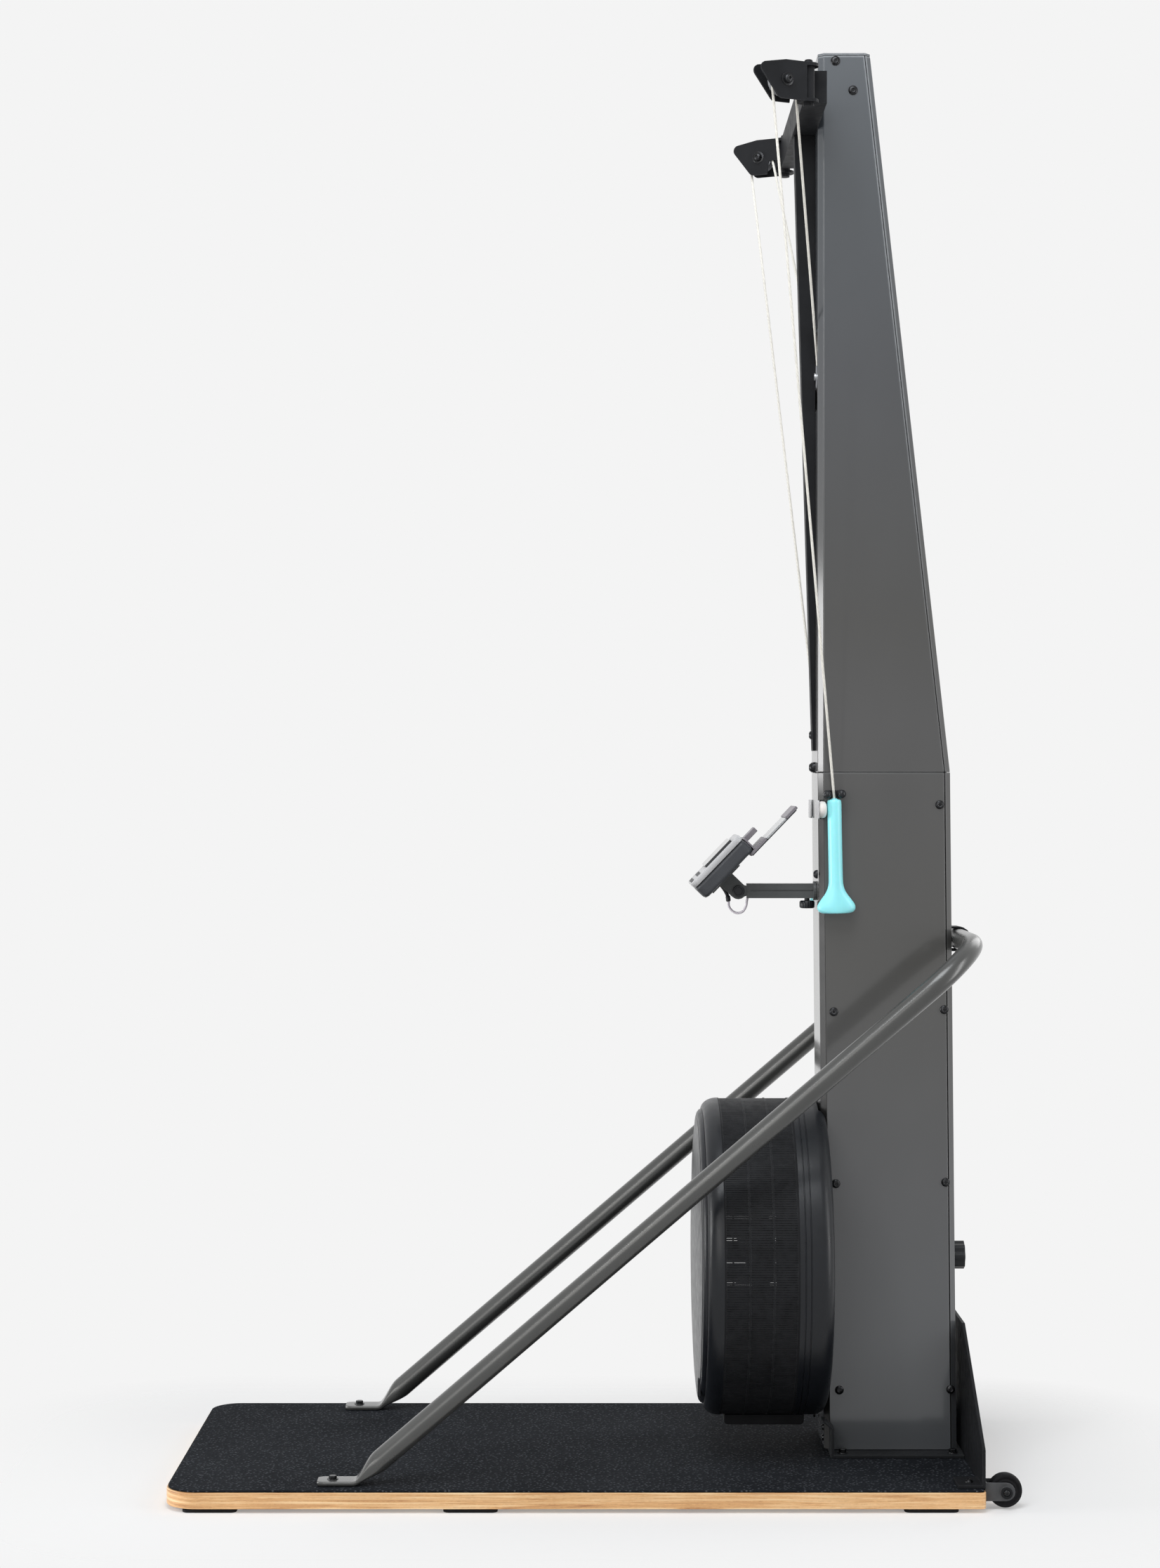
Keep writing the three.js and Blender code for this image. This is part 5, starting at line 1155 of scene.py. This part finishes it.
def add_monitor():
    face = MONITOR_FACE
    low, high = MONITOR_Z
    outer = (MONITOR_HALF, MONITOR_Z, MONITOR_CORNER)
    case = monitor_slab("case", (face + 0.0103, face + 0.034), *outer, 0.0058)
    finish_group("monitor_case", [case], "case", "monitor", ["monitor_body"])
    rim = monitor_slab("rim", (face + 0.0008, face + 0.0102), *outer, 0.0022)
    window = monitor_slab("window", (face - 0.004, face + 0.0045), 0.0525, (-0.0088, 0.0488), 0.004, 0)
    rim = cut_away(joined("monitor_rim", [rim]), window)
    finish_piece(rim, "silver", "monitor", ["monitor_bezel"])
    glass = monitor_slab("screen", (face - 0.0032, face + 0.0044), 0.0522, (-0.0085, 0.0485), 0.0035, 0.0008)
    finish_piece(glass, "screen", "monitor", ["monitor_screen"])
    keys = []
    for count, first, pitch, half, span, corner in (
        (5, -0.036, 0.018, 0.0065, (low + 0.0028, low + 0.0092), 0.002),
        (3, -0.03, 0.03, 0.009, (low + 0.016, low + 0.024), 0.0025),
    ):
        for i in range(count):
            y = first + pitch * i
            keys.append(monitor_slab("key", (face + 0.0002, face + 0.0012), half, span, corner, 0.0003, y))
    finish_group("monitor_keys", keys, "plastic", "monitor")
    back = face + 0.0336
    ribs = [monitor_slab("hatch", (back, face + 0.0351), 0.03, (low + 0.012, low + 0.016), 0.001, 0.0003)]
    for i in range(6):
        z = high - 0.024 + 0.003 * i
        ribs.append(monitor_slab("rib", (back, face + 0.0346), 0.02, (z, z + 0.0012), 0.0005, 0.0))
    finish_group("monitor_back_ribs", ribs, "case", "monitor")

    near, far = face + 0.0343, face + 0.0403
    foot = high - 0.01
    top = foot + 0.104
    for name, span, inset, look, slot in (
        ("holder_foot", (foot, foot + 0.036), 0.0, "mauve", "grey_plastic"),
        ("holder_pane", (foot + 0.036, foot + 0.08), 0.0016, "clear", "clear_plastic"),
        ("holder_head", (foot + 0.08, top), 0.0, "mauve", "grey_plastic"),
    ):
        piece = monitor_slab(name, (near + inset, far - 0.0012), HOLDER_HALF, span, 0.003, 0.0008)
        finish_piece(piece, look, "monitor")
    lip = near - 0.022
    rest = high + 0.0003
    ledge = monitor_slab("ledge", (lip, near), HOLDER_HALF, (rest, high + 0.0033), 0.0008, 0.0005)
    tab = monitor_slab("tab", (lip, near - 0.014), 0.02, (rest, high + 0.0263), 0.003, 0.0008)
    finish_group("holder_ledge", [ledge, tab], "mauve", "monitor", ["device_holder"])
    edge_span = (foot + 0.002, top - 0.004)
    spine = monitor_slab("holder_edge", (far - 0.0013, far), HOLDER_HALF, edge_span, 0.002, 0.0004)
    finish_piece(spine, "plastic", "monitor")
    for sign in (-1, 1):
        where = monitor_axes(0, sign * PIVOT_FACE, 0, along=(0, sign, 0), across=(1, 0, 0))
        ring = lathe("pivot_ring", PIVOT_RING, where, 48)
        finish_piece(ring, "plastic", "monitor", ["monitor_tilt_pin"] if sign < 0 else [])
    knob_low, knob_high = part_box("arm_clamp_knob")
    knob_middle = (knob_low + knob_high) / 2
    axis = axes_at((knob_middle.x, 0, knob_low.z), (0, 0, 1))
    tall = knob_high.z - knob_low.z
    profile = [
        (0.0, 0.0), (0.0, 0.0095), (0.001, 0.0112), (0.0026, 0.0119), (0.0094, 0.0119), (0.0111, 0.0112),
        (0.012, 0.0098), (0.0122, 0.0042), (tall, 0.004), (tall, 0.0),
    ]
    knob = lathe("knob", profile, axis, 72)
    for vertex in knob.data.vertices:
        flat = Vector((vertex.co.x - knob_middle.x, vertex.co.y))
        if flat.length > 0.0106:
            turn = math.atan2(flat.y, flat.x)
            dent = 1 - KNOB_DENT * (1 + math.cos(KNOB_RIBS * turn))
            vertex.co.x = knob_middle.x + flat.x * dent
            vertex.co.y = flat.y * dent
    finish_piece(knob, "plastic", "clamp_knob", ["arm_clamp_knob"])


# The monitor's cable, from its plug at the back to the tower, in millimetres from the pivot
CABLE_ROUTE = (
    (-27.3, 24, 9.6), (-23.5, 24, 5.9), (-18, 24, -2), (-14.5, 24, -10), (-13.4, 24, -18),
    (-12.4, 23.5, -26), (-7, 22, -33), (1, 20, -36), (9, 17.5, -33), (13.6, 14.5, -25),
    (15, 12.6, -16), (17, 12.2, -7),
)
CABLE_RADIUS = 0.00195


def curve_through(points, steps):
    """A smooth curve through points, by Catmull-Rom."""
    points = [Vector(p) for p in points]
    wide = [points[0] * 2 - points[1], *points, points[-1] * 2 - points[-2]]
    made = []
    for i in range(len(points) - 1):
        a, b, c, d = wide[i:i + 4]
        for k in range(steps):
            t = k / steps
            square = (2 * a - 5 * b + 4 * c - d) * t * t
            cube = (3 * b - a - 3 * c + d) * t ** 3
            made.append(0.5 * (2 * b + (c - a) * t + square + cube))
    made.append(points[-1])
    return made


def add_cable():
    route = [PIVOT + Vector(p) * MM for p in CABLE_ROUTE]
    cable = sweep("cable", curve_through(route, 10), CABLE_RADIUS, 20)
    cable.data.materials.append(LOOKS["cable"])
    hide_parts("monitor_cable")
    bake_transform(cable)
    plug_route = curve_through(route[:5], 6)
    widths = [0.0029] * (len(plug_route) - 7) + [0.0038] * 6 + [0.0027]
    plug = sweep("plug", plug_route, widths, 24)
    finish_piece(plug, "plastic", "monitor")


# Cords: the housings' places, the pulley radii at the cord's middle and the routes' ends
PIN = Vector((0.3182, 0.248, 2.106))
SPLAY = math.radians(24.6)
PULLEY_REACH = 0.0422
WRAP = 0.0196
GUIDE = Vector((0.352, 0.024, 1.703))
GUIDE_WRAP = 0.0163
SPOOL_WRAP = 0.0266
SPOOL_PLACES = (0.392, 0.43)
CORD_RADIUS = 0.002
CORD_SIDES = 14
ARM_SHARE_OF_CORD = 0.12


def tangent(point, centre, radius, turn):
    """The angle at which a line from a point touches a circle."""
    away = math.atan2(point[1] - centre[1], point[0] - centre[0])
    return away + turn * math.acos(radius / math.hypot(point[0] - centre[0], point[1] - centre[1]))


def arm_axes(sign):
    """An arm's swivel pin and the way that the arm points."""
    return Vector((PIN.x, sign * PIN.y, PIN.z)), Vector((-math.cos(SPLAY), sign * math.sin(SPLAY), 0))


def between(a, b, steps):
    return [a.lerp(b, i / steps) for i in range(1, steps)]


def cord_piece(name, path, replaces=()):
    cord = sweep(name, path, CORD_RADIUS, CORD_SIDES)
    cord.data.materials.append(LOOKS["cord"])
    if replaces:
        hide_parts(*replaces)
    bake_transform(cord)


def add_cords():
    for i, (side, sign) in enumerate(SIDES):
        pin, way = arm_axes(sign)
        hub = (PULLEY_REACH, PIN.z)

        def seen(place):
            return (Vector((place.x - pin.x, place.y - pin.y, 0)).dot(way), place.z)

        def on_arm(angle):
            along = hub[0] + WRAP * math.cos(angle)
            return Vector((pin.x, pin.y, hub[1] + WRAP * math.sin(angle))) + way * along

        top = Vector((HANDLE_TOP[0], sign * HANDLE_TOP[1], HANDLE_TOP[2] + 0.0003))
        guide = Vector((GUIDE.x, sign * GUIDE.y, GUIDE.z))
        first = tangent(seen(top), hub, WRAP, 1)
        last = tangent(seen(guide), hub, WRAP, -1) + 2 * math.pi
        over = [on_arm(first + (last - first) * k / 24) for k in range(25)]
        way_in = -sign
        turn = tangent((way_in * over[-1].y, over[-1].z), (way_in * guide.y, guide.z), GUIDE_WRAP, -1)
        under = []
        for share in (1, 0.8, 0.6, 0.4, 0.2, 0):
            angle = turn * share
            y = guide.y + way_in * GUIDE_WRAP * math.cos(angle)
            under.append(Vector((guide.x, y, guide.z + GUIDE_WRAP * math.sin(angle))))
        wound = []
        for k in range(17):
            angle = math.pi * k / 16
            y = sign * SPOOL_WRAP * math.cos(angle)
            wound.append(Vector((SPOOL_PLACES[i], y, FLYWHEEL_HEIGHT - SPOOL_WRAP * math.sin(angle))))
        path = [*over, *between(over[-1], under[0], 24), *under, *between(under[-1], wound[0], 12), *wound]
        cord_piece("inner_run_" + side, path, ["inner_cord_" + side])

        start = over[0]
        drop = (top - start).normalized()
        split = start + drop * ARM_SHARE_OF_CORD
        upper = [start, *between(start, split, 16), split]
        cord_piece("outer_run_" + side, upper, ["outer_cord_" + side])
        lower = [split, *between(split, top, 60), top]
        cord_piece("pull_run_" + side, lower)


CHEEK_WASHER = ((0.0, 0.0), (0.0, 0.0096), (0.0009, 0.0096), (0.0012, 0.0088), (0.0012, 0.0))
CHEEK_FACE = 0.01245
CHEEK_BOLT = 0.0163
PIN_HEAD = 0.0332


def add_housing_bolts():
    """Key-socket heads on both cheeks of each pulley housing, and a domed head on each swivel pin."""
    for side, sign in SIDES:
        pin, way = arm_axes(sign)
        across = Vector((-math.sin(SPLAY), -sign * math.cos(SPLAY), 0))
        hub = pin + way * PULLEY_REACH
        heads = []
        for out in (-across, across):
            heads.append(button_head("cheek_bolt", hub + out * CHEEK_BOLT, out, 0.0068, 0.0034))
            heads.append(lathe("cheek_washer", CHEEK_WASHER, axes_at(hub + out * CHEEK_FACE, out), 36))
        top = pin + Vector((0, 0, PIN_HEAD))
        heads.append(button_head("pin_head", top, (0, 0, 1), 0.0062, 0.0024))
        finish_group("housing_bolts_" + side, heads, "fastener", "arm_" + side)


# The damper's dial: its ring, its ticks, the degrees that they span and the ends of short and long ones
DIAL_RADII = (0.0225, 0.031)
DIAL_TICKS = 10
DIAL_SPAN = 270
TICK_START = 0.0248
TICK_ENDS = (0.029, 0.0298)
TICK_HALF = 0.0005


def add_dial():
    """Plain ring with raised ticks round the damper knob, on the tower's back."""
    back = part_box("tower_lower_rear_cover")[1].x
    inner, outer = DIAL_RADII
    middle = (back + 0.0001, 0, FLYWHEEL_HEIGHT)
    profile = [(0.0, inner), (0.0, outer), (0.0006, outer), (0.0009, outer - 0.0004), (0.0009, inner)]
    profile.append(profile[0])
    ring = lathe("dial_ring", profile, axes_at(middle, (1, 0, 0)), 96)
    finish_group("dial", [ring], "plastic", "frame")
    ticks = []
    for i in range(DIAL_TICKS):
        turn = math.radians(DIAL_SPAN * (i / (DIAL_TICKS - 1) - 0.5))
        way = Vector((0, math.sin(turn), math.cos(turn)))
        start, end, half = TICK_START, TICK_ENDS[i % 3 == 0], TICK_HALF
        outline = [(start, -half), (end, -half), (end, half), (start, half)]
        where = axes_at(middle, (1, 0, 0), way)
        ticks.append(slab("tick", outline, (0.0006, 0.0012), where, edge=0.0001))
    finish_group("dial_ticks", ticks, "pale", "frame")


# By its pixel and its depth
FRONT_BUTTON = (1164, 1245, -0.052)


def add_front_button():
    """A domed head on the tower's front, over the monitor's arm."""
    place = seen_at(*FRONT_BUTTON)
    place.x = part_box("tower_lower_channel")[0].x
    head = button_head("head", place, (-1, 0, 0), 0.0068, 0.006)
    finish_group("front_button", [head], "plastic", "frame")


BUMPER_PLACE = (0.3452, 0.0805, 1.0285)
BUMPER_PLATE = 0.0022
BUMPER = (
    (0.0, 0.0), (0.0, 0.0105), (0.0012, 0.0122), (0.0045, 0.0131), (0.0082, 0.0126), (0.0106, 0.0108),
    (0.0118, 0.0078), (0.012, 0.0),
)


def add_bumpers():
    """A pale bumper for each grip, on its plated angle."""
    x, y, z = BUMPER_PLACE
    for side, sign in SIDES:
        drop, rise = (0.032, 0.0125) if sign < 0 else (0.0125, 0.032)
        outline = rounded_rectangle((-0.0145, -drop), (0.0145, rise), (0.003,) * 4, 6)
        where = axes_at((x, sign * y, z), (1, 0, 0), (0, 0, 1))
        plate = slab("bumper_plate", outline, (0.0, BUMPER_PLATE), where, edge=0.0006)
        finish_group("bumper_plate_" + side, [plate], "silver", "frame")
        where = axes_at((x + BUMPER_PLATE, sign * y, z), (1, 0, 0))
        bumper = lathe("bumper_" + side, BUMPER, where, 48)
        finish_piece(bumper, "pale", "frame")


add_camera()
add_world()
add_floor()
add_lights()
dress_nodes()
add_fasteners()
add_drum()
add_brace()
add_wheels()
add_handles()
add_board()
add_monitor()
add_cable()
add_cords()
add_bumpers()
add_housing_bolts()
add_dial()
add_front_button()
